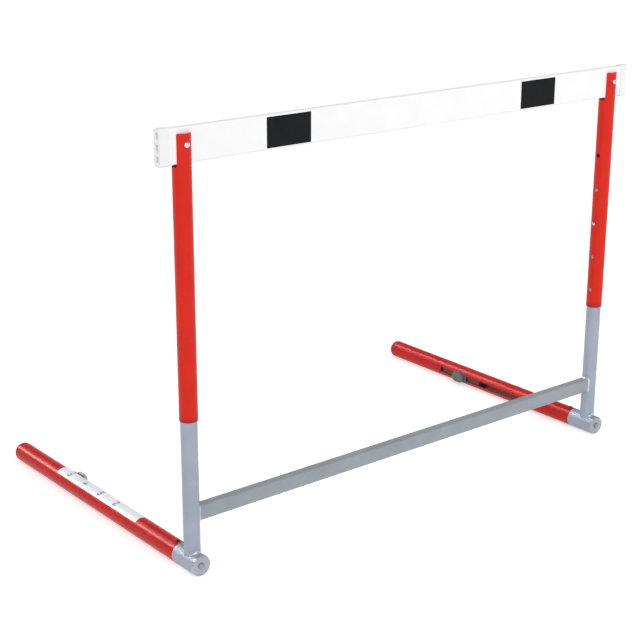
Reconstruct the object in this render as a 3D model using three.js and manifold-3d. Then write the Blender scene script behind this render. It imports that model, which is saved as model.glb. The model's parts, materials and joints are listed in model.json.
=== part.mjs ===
// Track hurdle: a hollow crossbar on two telescoping uprights, over feet that hold sliding counterweights.
// Millimetres, +Z up. The posts stand over y = 0 and the feet run to +Y. At the end the whole hurdle is
// moved, so that the origin lies on the ground at the middle of its footprint.
import * as THREE from "three";
import { mergeVertices } from "three/addons/utils/BufferGeometryUtils.js";
import Module from "manifold-3d";

const wasm = await Module();
wasm.setup();

// Whole hurdle
const crossbarLength = 1195;
const crossbarOverhang = 49;
const crossbarTop = 838;

// Height settings: five catch holes, 3 in apart, with the snap buttons in the middle one
const settingStep = 76.2;
const settingCount = 5;
const catchHeight = 495;

// Clearances
const seatGap = 0.3;
const slideGap = 0.35;
const screwGap = 0.3;
const cutOverrun = 5;

// Posts
const postRadius = 15.9;
const postWall = 1.6;
const postAboveButton = 105;

// Brace: a rectangular tube between the posts
const braceHeight = 30;
const braceDepth = 20;
const braceWall = 1.5;
const braceCorner = 3;
const braceMiddle = 116.5;

// Weld beads
const postWeldRadius = 4;
const braceWeldRadius = 2.5;

// Upper tubes, which slide on the posts
const upperWall = 1.2;
const upperBelowHoles = 40;
const upperLip = 0.5;
const tongueShort = 10;
const tongueCorner = 3;
const notchDrop = 5.5;
const notchFillet = 5;
const catchHoleRadius = 4.2;

// Snap buttons and their springs, inside the posts
const buttonRadius = 3.9;
const buttonStandOut = 2.6;
const buttonFlangeRadius = 5.2;
const buttonFlangeThickness = 1.2;
const leafWidth = 9;
const leafThickness = 0.8;
const leafAboveButton = 7;
const leafBelowButton = 38;
const leafBend = 3;

// Crossbar
const boardHeight = 63.5;
const boardDepth = 16;
const boardWall = 2;
const boardWeb = 1.6;
const boardCorner = 3;
const cellCorner = 1;

// Bands: black films on the front of the crossbar, whose outer ends leave a white stretch
const bandFromEnd = 225;
const bandWidth = 100;
const bandHeight = 56;
const bandCorner = 1;
const bandThickness = 0.5;

// Crossbar's end caps
const capSleeve = 15;
const capWall = 1.2;
const capPlate = 4;
const capRecessDepth = 3.2;
const capRecessWidth = 8;
const capRecessHeight = 11;
const capRecessCorner = 2;

// Bolts that hold the crossbar to the tongues
const boardBoltRadius = 3;
const boardBoltHeadRadius = 5.6;
const boardBoltHeadHeight = 3.6;
const boardBoltEnd = 1.5;
const boardBoltRise = 2.5;
const boardWasherRadius = 9;
const boardWasherThickness = 1.6;
const boardNutAcross = 10;
const boardNutThickness = 5;

// Feet: the welded base stubs in front, and the slotted foot tubes behind them
const footRadius = 20.65;
const footWall = 2;
const baseFrontReach = 25;
const baseRearReach = 40;
const footTubeLength = 612;

// Front discs and their bolts
const discThickness = 4.5;
const discBevel = 2;
const discStemLength = 10;
const anchorThickness = 6;
const frontBoltRadius = 3;
const frontBoltHeadRadius = 6.5;
const frontBoltHeadHeight = 4;
const frontBoltEnd = 2;

// Spigots that join a foot tube to its base stub
const spigotWall = 2.5;
const spigotFront = 2;
const spigotRear = 100;
const footScrewPlace = 50;
const footScrewRadius = 2.5;
const footScrewHeadRadius = 4.5;
const footScrewHeadHeight = 2.4;
const footScrewEnd = 1.5;

// Domed caps at the rear of the feet
const domeLength = 17;
const domeStemLength = 14;

// Slots, counterweights and their clamps
const slotStart = 180;
const slotLength = 290;
const slotWidth = 13;
const weightLength = 130;
const weightChamfer = 2;
const leftWeightSetting = 452;
const rightWeightSetting = 398;
const studRadius = 3;
const studDepth = 13;
const studInKnob = 4;
const shoeLength = 46;
const shoeHeight = 24;
const shoeThickness = 2.2;
const shoeCorner = 6;
const shoeKeyLength = 22;
const shoeKeyDepth = 1.5;
const knobLength = 36;
const knobHeight = 23;
const knobCorner = 11;
const knobThickness = 6.4;
const knobRounding = 1.8;
const knobHubRadius = 8;
const knobHubLength = 1;
const knobDishRadius = 6.5;
const knobDishDepth = 0.8;

// Facets and repeats
const footSides = 28;
const tubeSides = 28;
const holeSides = 12;
const screwSides = 16;
const knobSides = 20;
const knobCornerSteps = 4;
const knobRimSteps = 2;
const domeSteps = 4;
const cornerSteps = 3;
const weldSteps = 20;
const weldSides = 6;
const leafSteps = 16;
const boardCells = 3;

// Sizes that follow from the ones above
const postSpacing = crossbarLength - 2 * crossbarOverhang;
const postBore = postRadius - postWall;
const postTop = catchHeight + postAboveButton;
const upperBottom = catchHeight - ((settingCount - 1) / 2) * settingStep - upperBelowHoles;
const upperBore = postRadius + slideGap;
const upperRadius = upperBore + upperWall;
const footBore = footRadius - footWall;
const footAxis = footRadius * Math.cos(Math.PI / footSides);
const boardBottom = crossbarTop - boardHeight;
const boardMiddle = crossbarTop - boardHeight / 2;
const boltHeight = boardMiddle + boardBoltRise;
const boardLength = crossbarLength - 2 * (capPlate + seatGap);
const discBack = -baseFrontReach - seatGap;
const discFront = discBack - discThickness;
const footTubeFront = baseRearReach + seatGap;
const footTubeRear = footTubeFront + footTubeLength;
const footTip = footTubeRear + seatGap + domeLength;
const frontTip = discFront - seatGap - frontBoltHeadHeight;
const plugRadius = footBore - seatGap;

// Finishes
function finish(color, roughness, metalness) {
  return { color, roughness, metalness, flatShading: true };
}
const redCoat = finish(0xdd342a, 0.35, 0.0);
const redPaint = finish(0xc32f2a, 0.3, 0.0);
const greyPaint = finish(0x9aa0ac, 0.45, 0.2);
const whitePlastic = finish(0xf3f3f5, 0.5, 0.0);
const blackFilm = finish(0x212226, 0.6, 0.0);
const zincSteel = finish(0xa8abb0, 0.35, 0.9);
const springSteel = finish(0x7d8086, 0.3, 0.9);
const castIron = finish(0x45474b, 0.7, 0.6);
const greyPlastic = finish(0x7d8085, 0.55, 0.0);

// Solids: closed geometry turned into something that can be cut and joined, and back

function solid(geometry) {
  const bare = geometry.clone();
  bare.deleteAttribute("normal");
  bare.deleteAttribute("uv");
  const merged = mergeVertices(bare);
  return new wasm.Manifold(
    new wasm.Mesh({
      numProp: 3,
      vertProperties: merged.attributes.position.array,
      triVerts: new Uint32Array(merged.index.array),
    }),
  );
}

function geometryOf(manifold) {
  const mesh = manifold.getMesh();
  const geometry = new THREE.BufferGeometry();
  geometry.setAttribute("position", new THREE.BufferAttribute(mesh.vertProperties, mesh.numProp));
  geometry.setIndex(new THREE.BufferAttribute(mesh.triVerts, 1));
  geometry.computeVertexNormals();
  return geometry;
}

function piece(name, shape, material) {
  const mesh = new THREE.Mesh(
    shape instanceof THREE.BufferGeometry ? shape : geometryOf(shape),
    new THREE.MeshStandardMaterial(material),
  );
  mesh.name = name;
  return mesh;
}

function cutAll(body, cutters) {
  return cutters.reduce((rest, cutter) => rest.subtract(cutter), body);
}

// Revolved shapes: a profile of [radius, place along the axis], turned about Y, with flat facets up and down

function turned(profile, sides) {
  const points = profile.map(([radius, along]) => new THREE.Vector2(radius, along));
  return new THREE.LatheGeometry(points, sides, Math.PI / sides);
}

function rod(radius, from, to, sides) {
  return turned([[0, from], [radius, from], [radius, to], [0, to]], sides);
}

function tube(radius, bore, from, to, sides) {
  return turned([[bore, from], [radius, from], [radius, to], [bore, to], [bore, from]], sides);
}

// Quarter of an ellipse in a profile, from the rim [radius, from] to the axis side [radius - inset, to]
function roundedRim(radius, from, inset, to) {
  return Array.from({ length: domeSteps + 1 }, (_, i) => {
    const angle = (i / domeSteps) * (Math.PI / 2);
    return [radius - inset * (1 - Math.cos(angle)), from + (to - from) * Math.sin(angle)];
  });
}

// Turns a shape made about Y to stand up, or to point along X
function upright(geometry) {
  return geometry.rotateX(Math.PI / 2);
}

function pointing(geometry, inward) {
  return geometry.rotateZ((-inward * Math.PI) / 2);
}

// Extruded shapes

function roundedOutline(width, height, corner, outline = new THREE.Shape()) {
  const x = width / 2;
  const y = height / 2;
  outline.moveTo(x, y - corner);
  outline.absarc(x - corner, y - corner, corner, 0, Math.PI / 2);
  outline.absarc(corner - x, y - corner, corner, Math.PI / 2, Math.PI);
  outline.absarc(corner - x, corner - y, corner, Math.PI, 1.5 * Math.PI);
  outline.absarc(x - corner, corner - y, corner, 1.5 * Math.PI, 2 * Math.PI);
  outline.closePath();
  return outline;
}

function extruded(outline, length) {
  const settings = { depth: length, bevelEnabled: false, curveSegments: cornerSteps };
  return new THREE.ExtrudeGeometry(outline, settings).translate(0, 0, -length / 2);
}

// Extrudes an outline drawn in (Y, Z) along X, or one drawn in (X, Z) along Y, centred on zero
function alongX(outline, length) {
  const cyclic = new THREE.Matrix4().makeBasis(
    new THREE.Vector3(0, 1, 0),
    new THREE.Vector3(0, 0, 1),
    new THREE.Vector3(1, 0, 0),
  );
  return extruded(outline, length).applyMatrix4(cyclic);
}

function alongY(outline, length) {
  return extruded(outline, length).rotateX(Math.PI / 2);
}

// A hexagonal bar about Y
function hexagon(across, from, to) {
  return rod(across / 2 / Math.cos(Math.PI / 6), from, to, 6);
}

// Domed bolt along Y: its head faces -Y, with the underside at seat, and its shank ends at end
function domeBolt(headRadius, headHeight, shankRadius, seat, end) {
  const rise = roundedRim(headRadius, 0, headRadius, headHeight);
  const dome = rise.map(([radius, height]) => [radius, seat - height]);
  const profile = [...dome.reverse(), [shankRadius, seat], [shankRadius, end], [0, end]];
  profile[0][0] = 0;
  return turned(profile, screwSides);
}

// Base stub: the short tube under a post, open in front for the disc and behind for the spigot
function baseStub() {
  return tube(footRadius, footBore, -baseFrontReach, baseRearReach, footSides);
}

function frontDisc() {
  const face = footRadius - discBevel;
  return turned(
    [
      [frontBoltRadius + screwGap, discFront],
      [face, discFront],
      [footRadius, discFront + discBevel],
      [footRadius, discBack],
      [plugRadius, discBack],
      [plugRadius, discBack + discStemLength],
      [frontBoltRadius + screwGap, discBack + discStemLength],
      [frontBoltRadius + screwGap, discFront],
    ],
    footSides,
  );
}

function anchorPlate() {
  const front = discBack + discStemLength + seatGap;
  return tube(plugRadius, frontBoltRadius + screwGap, front, front + anchorThickness, screwSides);
}

function frontBolt() {
  const end = discBack + discStemLength + seatGap + anchorThickness + frontBoltEnd;
  return domeBolt(frontBoltHeadRadius, frontBoltHeadHeight, frontBoltRadius, discFront - seatGap, end);
}

// Hole for the screw that fixes a foot tube to its spigot, from the axis out through the top
function footScrewHole() {
  const hole = upright(rod(footScrewRadius + screwGap, 0, footRadius + cutOverrun, holeSides));
  return solid(hole.translate(0, footScrewPlace, 0));
}

function spigot() {
  const sleeve = tube(plugRadius, plugRadius - spigotWall, spigotFront, spigotRear, footSides);
  return solid(sleeve).subtract(footScrewHole());
}

function footScrew() {
  const seat = footAxis + seatGap;
  const end = plugRadius - spigotWall - footScrewEnd;
  const screw = domeBolt(footScrewHeadRadius, footScrewHeadHeight, footScrewRadius, -seat, -end);
  return screw.rotateX(-Math.PI / 2).translate(0, footScrewPlace, 0);
}

// Slot cutter: a long round-ended bar that reaches out through the inner side of a foot
function slotCutter(inward, width) {
  const straight = slotLength - width;
  const reach = footRadius + cutOverrun;
  const ends = [0, straight].map((step) => {
    const end = pointing(rod(width / 2, 0, reach, holeSides), inward);
    return solid(end.translate(0, slotStart + width / 2 + step, 0));
  });
  const middle = new THREE.BoxGeometry(reach, straight, width * Math.cos(Math.PI / holeSides));
  middle.translate((inward * reach) / 2, slotStart + width / 2 + straight / 2, 0);
  return ends[0].add(ends[1]).add(solid(middle));
}

function footTube(inward) {
  const whole = solid(tube(footRadius, footBore, footTubeFront, footTubeRear, footSides));
  return cutAll(whole, [slotCutter(inward, slotWidth), footScrewHole()]);
}

function footDome() {
  const back = footTubeRear + seatGap;
  const dome = roundedRim(footRadius, back, footRadius, footTip);
  dome[dome.length - 1][0] = 0;
  const front = footTubeRear - domeStemLength;
  return turned([[0, front], [plugRadius, front], [plugRadius, back], ...dome], footSides);
}

// Counterweight: a bar that slides in the foot, with a blind hole for the clamp's stud
function counterweight(inward) {
  const radius = footBore - slideGap;
  const half = weightLength / 2;
  const bar = turned(
    [
      [0, -half],
      [radius - weightChamfer, -half],
      [radius, weightChamfer - half],
      [radius, half - weightChamfer],
      [radius - weightChamfer, half],
      [0, half],
    ],
    footSides,
  );
  const bottom = radius - studDepth - seatGap;
  const hole = pointing(rod(studRadius + screwGap, bottom, radius + cutOverrun, holeSides), inward);
  return solid(bar).subtract(solid(hole));
}

// Saddle shoe: a curved plate on the outside of the foot, with a key that runs in the slot
function clampShoe(inward) {
  const bore = shoeFace() - shoeThickness;
  const reach = shoeFace() + cutOverrun;
  const ring = solid(tube(shoeFace(), bore, -shoeLength, shoeLength, footSides));
  const block = alongX(roundedOutline(shoeLength, shoeHeight, shoeCorner), reach);
  const plate = ring.intersect(solid(block.translate((inward * reach) / 2, 0, 0)));
  const keyReach = shoeKeyDepth + seatGap + shoeThickness / 2;
  const key = alongX(roundedOutline(shoeKeyLength, slotWidth - 2 * seatGap, shoeCorner), keyReach);
  const keyMiddle = inward * (bore + shoeThickness / 2 - keyReach / 2);
  const hole = pointing(rod(studRadius + screwGap, 0, reach, holeSides), inward);
  return plate.add(solid(key.translate(keyMiddle, 0, 0))).subtract(solid(hole));
}

// Distance from the foot's axis to the outer face of a shoe
function shoeFace() {
  return (footRadius + seatGap) / Math.cos(Math.PI / footSides) + shoeThickness;
}

function clampStud(inward) {
  const from = footBore - slideGap - studDepth;
  return pointing(rod(studRadius, from, shoeFace() + seatGap + studInKnob, holeSides), inward);
}

// Clamp knob: a hub against the shoe, and a long grip with round ends, a rounded rim and a dish in its face
function clampKnob() {
  const back = shoeFace() + seatGap;
  const rim = back + knobHubLength;
  const face = rim + knobThickness;
  const middle = (rim + face) / 2;
  const straight = knobThickness - 2 * knobRounding;
  const grip = new THREE.ExtrudeGeometry(roundedOutline(knobLength, knobHeight, knobCorner), {
    depth: straight,
    bevelThickness: knobRounding,
    bevelSize: knobRounding,
    bevelOffset: -knobRounding,
    bevelSegments: knobRimSteps,
    curveSegments: knobCornerSteps,
  });
  grip.translate(0, 0, -straight / 2).rotateX(Math.PI / 2).translate(0, middle, 0);
  const hub = rod(knobHubRadius, back, middle, knobSides);
  const dish = rod(knobDishRadius, face - knobDishDepth, face + cutOverrun, knobSides);
  const socket = rod(studRadius + screwGap, back - cutOverrun, back + studInKnob + seatGap, holeSides);
  return geometryOf(cutAll(solid(grip).add(solid(hub)), [solid(dish), solid(socket)]));
}

// Post: its lower end is coped to sit on the base stub, and a hole in its inner side lets the snap button out
function post(inward) {
  const whole = solid(upright(tube(postRadius, postBore, -postTop, -footAxis, tubeSides)).rotateX(Math.PI));
  const saddle = rod(footRadius + seatGap, -footRadius, footRadius, footSides).translate(0, 0, footAxis);
  const hole = pointing(rod(catchHoleRadius, 0, postRadius + cutOverrun, holeSides), inward);
  return cutAll(whole, [solid(saddle), solid(hole.translate(0, 0, catchHeight))]);
}

// Bead where a post meets its base stub, along the curve that the two round tubes share
function postWeld() {
  const saddle = Array.from({ length: weldSteps }, (_, i) => {
    const angle = (i / weldSteps) * 2 * Math.PI;
    const x = postRadius * Math.cos(angle);
    const rise = Math.sqrt(footRadius ** 2 - x ** 2);
    return new THREE.Vector3(x, postRadius * Math.sin(angle), footAxis + rise);
  });
  const path = new THREE.CatmullRomCurve3(saddle, true);
  const bead = solid(new THREE.TubeGeometry(path, weldSteps, postWeldRadius, weldSides, true));
  const inner = upright(rod(postRadius + seatGap, -crossbarTop, crossbarTop, tubeSides));
  const under = rod(footRadius + seatGap, -footRadius * 2, footRadius * 2, footSides);
  return cutAll(bead, [solid(inner), solid(under.translate(0, 0, footAxis))]);
}

// Cutters in the shape of both posts, for what is coped to them
function postCutters() {
  return [-1, 1].map((side) => {
    const bar = upright(rod(postRadius + seatGap, -postTop, postTop, tubeSides));
    return solid(bar.translate((side * postSpacing) / 2, 0, 0));
  });
}

function crossBrace() {
  const outline = roundedOutline(braceDepth, braceHeight, braceCorner);
  const bore = roundedOutline(
    braceDepth - 2 * braceWall,
    braceHeight - 2 * braceWall,
    braceCorner - braceWall,
    new THREE.Path(),
  );
  outline.holes.push(bore);
  const bar = alongX(outline, postSpacing).translate(0, 0, braceMiddle);
  return cutAll(solid(bar), postCutters());
}

// Bead round the end of the brace, on the surface of a post
function braceWeld(inward) {
  const outline = roundedOutline(braceDepth, braceHeight, braceCorner).getSpacedPoints(weldSteps);
  const loop = outline.slice(0, weldSteps).map(({ x: across, y: rise }) => {
    const out = Math.sqrt(postRadius ** 2 - across ** 2);
    return new THREE.Vector3(inward * out, across, braceMiddle + rise);
  });
  const path = new THREE.CatmullRomCurve3(loop, true);
  const bead = solid(new THREE.TubeGeometry(path, weldSteps, braceWeldRadius, weldSides, true));
  const inner = upright(rod(postRadius + seatGap, -postTop, postTop, tubeSides));
  const braceRoom = 2 * seatGap;
  const middle = alongX(
    roundedOutline(braceDepth + braceRoom, braceHeight + braceRoom, braceCorner + seatGap),
    postSpacing,
  );
  return cutAll(bead, [solid(inner), solid(middle.translate(0, 0, braceMiddle))]);
}

// Upper tube: it slides on the post. Its top is cut away behind the crossbar's face, which leaves a tongue
function upperTube(inward) {
  const tongueTop = crossbarTop - tongueShort;
  const profile = [
    [upperBore, upperBottom + upperLip],
    [upperBore + upperLip, upperBottom],
    [upperRadius - upperLip, upperBottom],
    [upperRadius, upperBottom + upperLip],
    [upperRadius, tongueTop],
    [upperBore, tongueTop],
    [upperBore, upperBottom + upperLip],
  ];
  const reversed = profile.map(([radius, along]) => [radius, -along]).reverse();
  const whole = solid(upright(turned(reversed, tubeSides)).rotateX(Math.PI));
  const holes = Array.from({ length: settingCount }, (_, i) => {
    const height = catchHeight + (i - (settingCount - 1) / 2) * settingStep;
    const hole = pointing(rod(catchHoleRadius, 0, upperRadius + cutOverrun, holeSides), inward);
    return solid(hole.translate(0, 0, height));
  });
  return cutAll(whole, [...holes, notchCutter(), ...tongueCornerCutters(tongueTop), boltHole()]);
}

// Notch for the crossbar: its floor lies a little under the board, with a fillet between it and the tongue
function notchCutter() {
  const front = -boardDepth / 2 - seatGap;
  const floor = boardBottom - notchDrop;
  const outline = new THREE.Shape();
  outline.moveTo(front, crossbarTop);
  outline.lineTo(front, floor + notchFillet);
  outline.absarc(front + notchFillet, floor + notchFillet, notchFillet, Math.PI, 1.5 * Math.PI);
  outline.lineTo(upperRadius + cutOverrun, floor);
  outline.lineTo(upperRadius + cutOverrun, crossbarTop);
  outline.closePath();
  return solid(alongX(outline, 2 * (upperRadius + cutOverrun)));
}

// Cutters that round the two top corners of a tongue
function tongueCornerCutters(tongueTop) {
  const halfWidth = Math.sqrt(upperRadius ** 2 - (boardDepth / 2 + seatGap) ** 2);
  return [-1, 1].map((side) => {
    const outline = new THREE.Shape();
    outline.moveTo(halfWidth - tongueCorner, tongueTop);
    outline.absarc(halfWidth - tongueCorner, tongueTop - tongueCorner, tongueCorner, Math.PI / 2, 0, true);
    outline.lineTo(halfWidth + cutOverrun, tongueTop - tongueCorner);
    outline.lineTo(halfWidth + cutOverrun, tongueTop + cutOverrun);
    outline.lineTo(halfWidth - tongueCorner, tongueTop + cutOverrun);
    outline.closePath();
    const cutter = alongY(outline, 2 * (upperRadius + cutOverrun));
    return solid(side > 0 ? cutter : cutter.rotateZ(Math.PI));
  });
}

function boltHole() {
  const reach = upperRadius + cutOverrun;
  return solid(rod(boardBoltRadius + screwGap, -reach, reach, holeSides).translate(0, 0, boltHeight));
}

function boardBolt() {
  const nutBack = boardDepth / 2 + 3 * seatGap + boardWasherThickness + boardNutThickness;
  return domeBolt(
    boardBoltHeadRadius,
    boardBoltHeadHeight,
    boardBoltRadius,
    -upperRadius - seatGap,
    nutBack + boardBoltEnd - seatGap,
  );
}

function boardWasher() {
  const front = boardDepth / 2 + seatGap;
  const back = front + boardWasherThickness;
  return tube(boardWasherRadius, boardBoltRadius + screwGap, front, back, screwSides);
}

function boardNut() {
  const front = boardDepth / 2 + 2 * seatGap + boardWasherThickness;
  const hole = rod(boardBoltRadius + screwGap, 0, front + boardNutThickness + cutOverrun, holeSides);
  return solid(hexagon(boardNutAcross, front, front + boardNutThickness)).subtract(solid(hole));
}

// Crossbar board: a hollow profile with a row of cells, open at both ends, and a bolt hole over each post
function board() {
  const outline = roundedOutline(boardDepth, boardHeight, boardCorner);
  const cellHeight = (boardHeight - 2 * boardWall - (boardCells - 1) * boardWeb) / boardCells;
  for (let i = 0; i < boardCells; i += 1) {
    const middle = (i - (boardCells - 1) / 2) * (cellHeight + boardWeb);
    const cell = roundedOutline(boardDepth - 2 * boardWall, cellHeight, cellCorner).getPoints(cornerSteps);
    outline.holes.push(new THREE.Path(cell.map((point) => point.clone().setY(point.y + middle))));
  }
  const bar = solid(alongX(outline, boardLength).translate(0, 0, boardMiddle));
  const holes = [-1, 1].map((side) => boltHole().translate([(side * postSpacing) / 2, 0, 0]));
  return cutAll(bar, holes);
}

function band(side) {
  const film = alongY(roundedOutline(bandWidth, bandHeight, bandCorner), bandThickness);
  const middle = side * (crossbarLength / 2 - bandFromEnd - bandWidth / 2);
  return film.translate(middle, -boardDepth / 2 - seatGap - bandThickness / 2, boardMiddle);
}

// A solid prism of the crossbar's outer size plus a margin all round
function boardPrism(margin, length, corner) {
  return alongX(roundedOutline(boardDepth + 2 * margin, boardHeight + 2 * margin, corner), length);
}

// End cap: a sleeve over the crossbar's end, closed by a plate with one shallow recess for each cell
function endCap(side) {
  const total = capSleeve + capPlate;
  const outer = solid(boardPrism(seatGap + capWall, total, boardCorner + capWall));
  const pocket = boardPrism(seatGap, capSleeve + cutOverrun, boardCorner);
  pocket.translate(-(cutOverrun + capPlate) / 2, 0, 0);
  const pitch = (boardHeight - 2 * boardWall + boardWeb) / boardCells;
  const recesses = Array.from({ length: boardCells }, (_, i) => {
    const recess = alongX(
      roundedOutline(capRecessWidth, capRecessHeight, capRecessCorner),
      2 * capRecessDepth,
    );
    return solid(recess.translate(total / 2, 0, (i - (boardCells - 1) / 2) * pitch));
  });
  const cap = geometryOf(cutAll(outer, [solid(pocket), ...recesses]));
  if (side < 0) cap.rotateZ(Math.PI);
  return cap.translate(side * (crossbarLength / 2 - total / 2), 0, boardMiddle);
}

// Snap button, pointing out of a post and through the upper tube, with a flange that stops it in the post
function buttonSeat() {
  return Math.sqrt(postBore ** 2 - buttonFlangeRadius ** 2) - seatGap - buttonFlangeThickness;
}

function snapButton(inward) {
  const back = buttonSeat();
  const tip = upperRadius + buttonStandOut;
  const dome = roundedRim(buttonRadius, tip - buttonStandOut, buttonRadius, tip);
  dome[dome.length - 1][0] = 0;
  const profile = [
    [0, back],
    [buttonFlangeRadius, back],
    [buttonFlangeRadius, back + buttonFlangeThickness],
    [buttonRadius, back + buttonFlangeThickness],
    ...dome,
  ];
  return pointing(turned(profile, holeSides), inward).translate(0, 0, catchHeight);
}

// Leaf spring: a bent strip from behind the button, round a bend below it, and up the far wall of the post
function snapSpring(inward) {
  const near = buttonSeat() - seatGap - leafThickness / 2;
  const far = Math.sqrt(postBore ** 2 - (leafWidth / 2) ** 2) - seatGap - leafThickness / 2;
  const low = -leafBelowButton;
  const points = [
    [near, leafAboveButton],
    [near, 0],
    [near, -leafAboveButton],
    [leafBend, low + leafBend],
    [0, low],
    [-leafBend, low + leafBend],
    [-far, -leafAboveButton],
    [-far, leafAboveButton / 2],
  ];
  const path = new THREE.CatmullRomCurve3(
    points.map(([across, rise]) => new THREE.Vector3(inward * across, 0, catchHeight + rise)),
  );
  const section = new THREE.Shape();
  section.moveTo(-leafWidth / 2, -leafThickness / 2);
  section.lineTo(leafWidth / 2, -leafThickness / 2);
  section.lineTo(leafWidth / 2, leafThickness / 2);
  section.lineTo(-leafWidth / 2, leafThickness / 2);
  section.closePath();
  return new THREE.ExtrudeGeometry(section, { steps: leafSteps, extrudePath: path });
}

// One side of the hurdle, about its post's axis. Inward is +1 where the hurdle's middle lies towards +X
function sideOf(name, inward, weightSetting) {
  const side = new THREE.Group();
  side.position.x = (-inward * postSpacing) / 2;

  const foot = new THREE.Group();
  foot.position.z = footAxis;
  foot.add(
    piece(`${name}_base_stub`, baseStub(), greyPaint),
    piece(`${name}_front_disc`, frontDisc(), greyPaint),
    piece(`${name}_anchor_plate`, anchorPlate(), zincSteel),
    piece(`${name}_front_bolt`, frontBolt(), zincSteel),
    piece(`${name}_spigot`, spigot(), zincSteel),
    piece(`${name}_foot_screw`, footScrew(), springSteel),
    piece(`${name}_foot_tube`, footTube(inward), redPaint),
    piece(`${name}_foot_dome`, footDome(), redPaint),
  );

  const clamp = new THREE.Group();
  clamp.position.y = weightSetting;
  const knob = piece(`${name}_clamp_knob`, clampKnob(), zincSteel);
  knob.rotation.z = (-inward * Math.PI) / 2;
  clamp.add(
    piece(`${name}_counterweight`, counterweight(inward), castIron),
    piece(`${name}_clamp_shoe`, clampShoe(inward), greyPlastic),
    piece(`${name}_clamp_stud`, clampStud(inward), zincSteel),
    knob,
  );
  foot.add(clamp);

  const bolting = new THREE.Group();
  bolting.position.z = boltHeight;
  bolting.add(
    piece(`${name}_board_bolt`, boardBolt(), zincSteel),
    piece(`${name}_board_washer`, boardWasher(), zincSteel),
    piece(`${name}_board_nut`, boardNut(), zincSteel),
  );

  side.add(
    foot,
    bolting,
    piece(`${name}_post`, post(inward), greyPaint),
    piece(`${name}_post_weld`, postWeld(), greyPaint),
    piece(`${name}_brace_weld`, braceWeld(inward), greyPaint),
    piece(`${name}_snap_button`, snapButton(inward), zincSteel),
    piece(`${name}_snap_spring`, snapSpring(inward), springSteel),
    piece(`${name}_upper_tube`, upperTube(inward), redCoat),
  );
  return side;
}

const hurdle = new THREE.Group();
hurdle.position.y = -(footTip + frontTip) / 2;
hurdle.add(
  sideOf("left", 1, leftWeightSetting),
  sideOf("right", -1, rightWeightSetting),
  piece("cross_brace", crossBrace(), greyPaint),
  piece("crossbar_board", board(), whitePlastic),
  piece("left_end_cap", endCap(-1), whitePlastic),
  piece("right_end_cap", endCap(1), whitePlastic),
  piece("left_band", band(-1), blackFilm),
  piece("right_band", band(1), blackFilm),
);

export default hurdle;
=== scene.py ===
"""Looks of a track hurdle, built round the frame: weighted feet, telescoping uprights, hollow crossbar."""

import json
import logging
import math
from collections.abc import Sequence
from dataclasses import dataclass, field
from enum import Enum

import bmesh
import bpy
from bmesh.types import BMesh
from bpy.types import ID, Material, Node, NodeSocket, NodeTree, Object
from mathutils import Matrix, Vector

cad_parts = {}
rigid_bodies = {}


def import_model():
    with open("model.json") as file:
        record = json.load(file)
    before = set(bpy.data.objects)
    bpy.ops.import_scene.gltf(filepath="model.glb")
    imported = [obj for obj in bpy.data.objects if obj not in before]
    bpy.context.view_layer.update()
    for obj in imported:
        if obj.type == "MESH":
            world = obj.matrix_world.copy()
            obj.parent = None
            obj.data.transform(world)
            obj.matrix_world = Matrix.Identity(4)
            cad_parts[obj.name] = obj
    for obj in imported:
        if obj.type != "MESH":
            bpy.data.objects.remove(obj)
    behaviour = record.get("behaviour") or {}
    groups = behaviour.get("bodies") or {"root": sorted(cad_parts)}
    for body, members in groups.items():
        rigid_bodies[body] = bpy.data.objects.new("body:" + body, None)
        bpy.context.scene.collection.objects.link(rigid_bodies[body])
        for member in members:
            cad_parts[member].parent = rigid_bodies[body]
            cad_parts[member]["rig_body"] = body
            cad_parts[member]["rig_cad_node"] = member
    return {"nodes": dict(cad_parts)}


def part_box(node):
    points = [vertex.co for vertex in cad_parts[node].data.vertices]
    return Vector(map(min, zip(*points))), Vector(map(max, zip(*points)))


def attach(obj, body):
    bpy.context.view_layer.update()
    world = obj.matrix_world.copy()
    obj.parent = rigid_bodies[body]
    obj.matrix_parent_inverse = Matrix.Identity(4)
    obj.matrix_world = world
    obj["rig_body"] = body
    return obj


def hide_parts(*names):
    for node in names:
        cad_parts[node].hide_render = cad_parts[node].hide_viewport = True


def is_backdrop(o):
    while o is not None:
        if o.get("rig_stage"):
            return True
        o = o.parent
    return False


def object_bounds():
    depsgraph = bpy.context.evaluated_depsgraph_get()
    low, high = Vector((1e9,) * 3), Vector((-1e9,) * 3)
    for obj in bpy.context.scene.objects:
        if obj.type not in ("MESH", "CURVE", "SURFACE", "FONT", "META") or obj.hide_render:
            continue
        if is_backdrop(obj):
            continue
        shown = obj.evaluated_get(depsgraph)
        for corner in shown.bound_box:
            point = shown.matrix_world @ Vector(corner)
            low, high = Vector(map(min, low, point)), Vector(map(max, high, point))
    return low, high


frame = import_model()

log = logging.getLogger("hurdle")

MM = 0.001
UP = Vector((0.0, 0.0, 1.0))
BACK = Vector((0.0, 1.0, 0.0))
CENTRE = (0.0, 0.0, 0.0)
EVEN = (1.0, 1.0, 1.0)
WHITE = (1.0, 1.0, 1.0, 1.0)
ROUND_STEPS = 96
SMALL_STEPS = 40
DOME_STEPS = 14
CORNER_STEPS = 5
SMOOTH_BELOW = math.radians(32)
SHARP = math.radians(60)
WELD_DISTANCE = 0.002 * MM
WELD_RIPPLE = 0.14 * MM
OVERRUN = 5 * MM
FIT = 0.3 * MM
NEAR = 1 * MM
CARRIED_FINISHES = {
    "anchor_plate": "zinc",
    "spigot": "zinc",
    "clamp_stud": "zinc",
    "snap_spring": "spring",
}

Color = tuple[float, float, float]
Place = tuple[float, float, float]
Point = tuple[float, float]
Levels = tuple[float, float, float, float]


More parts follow.
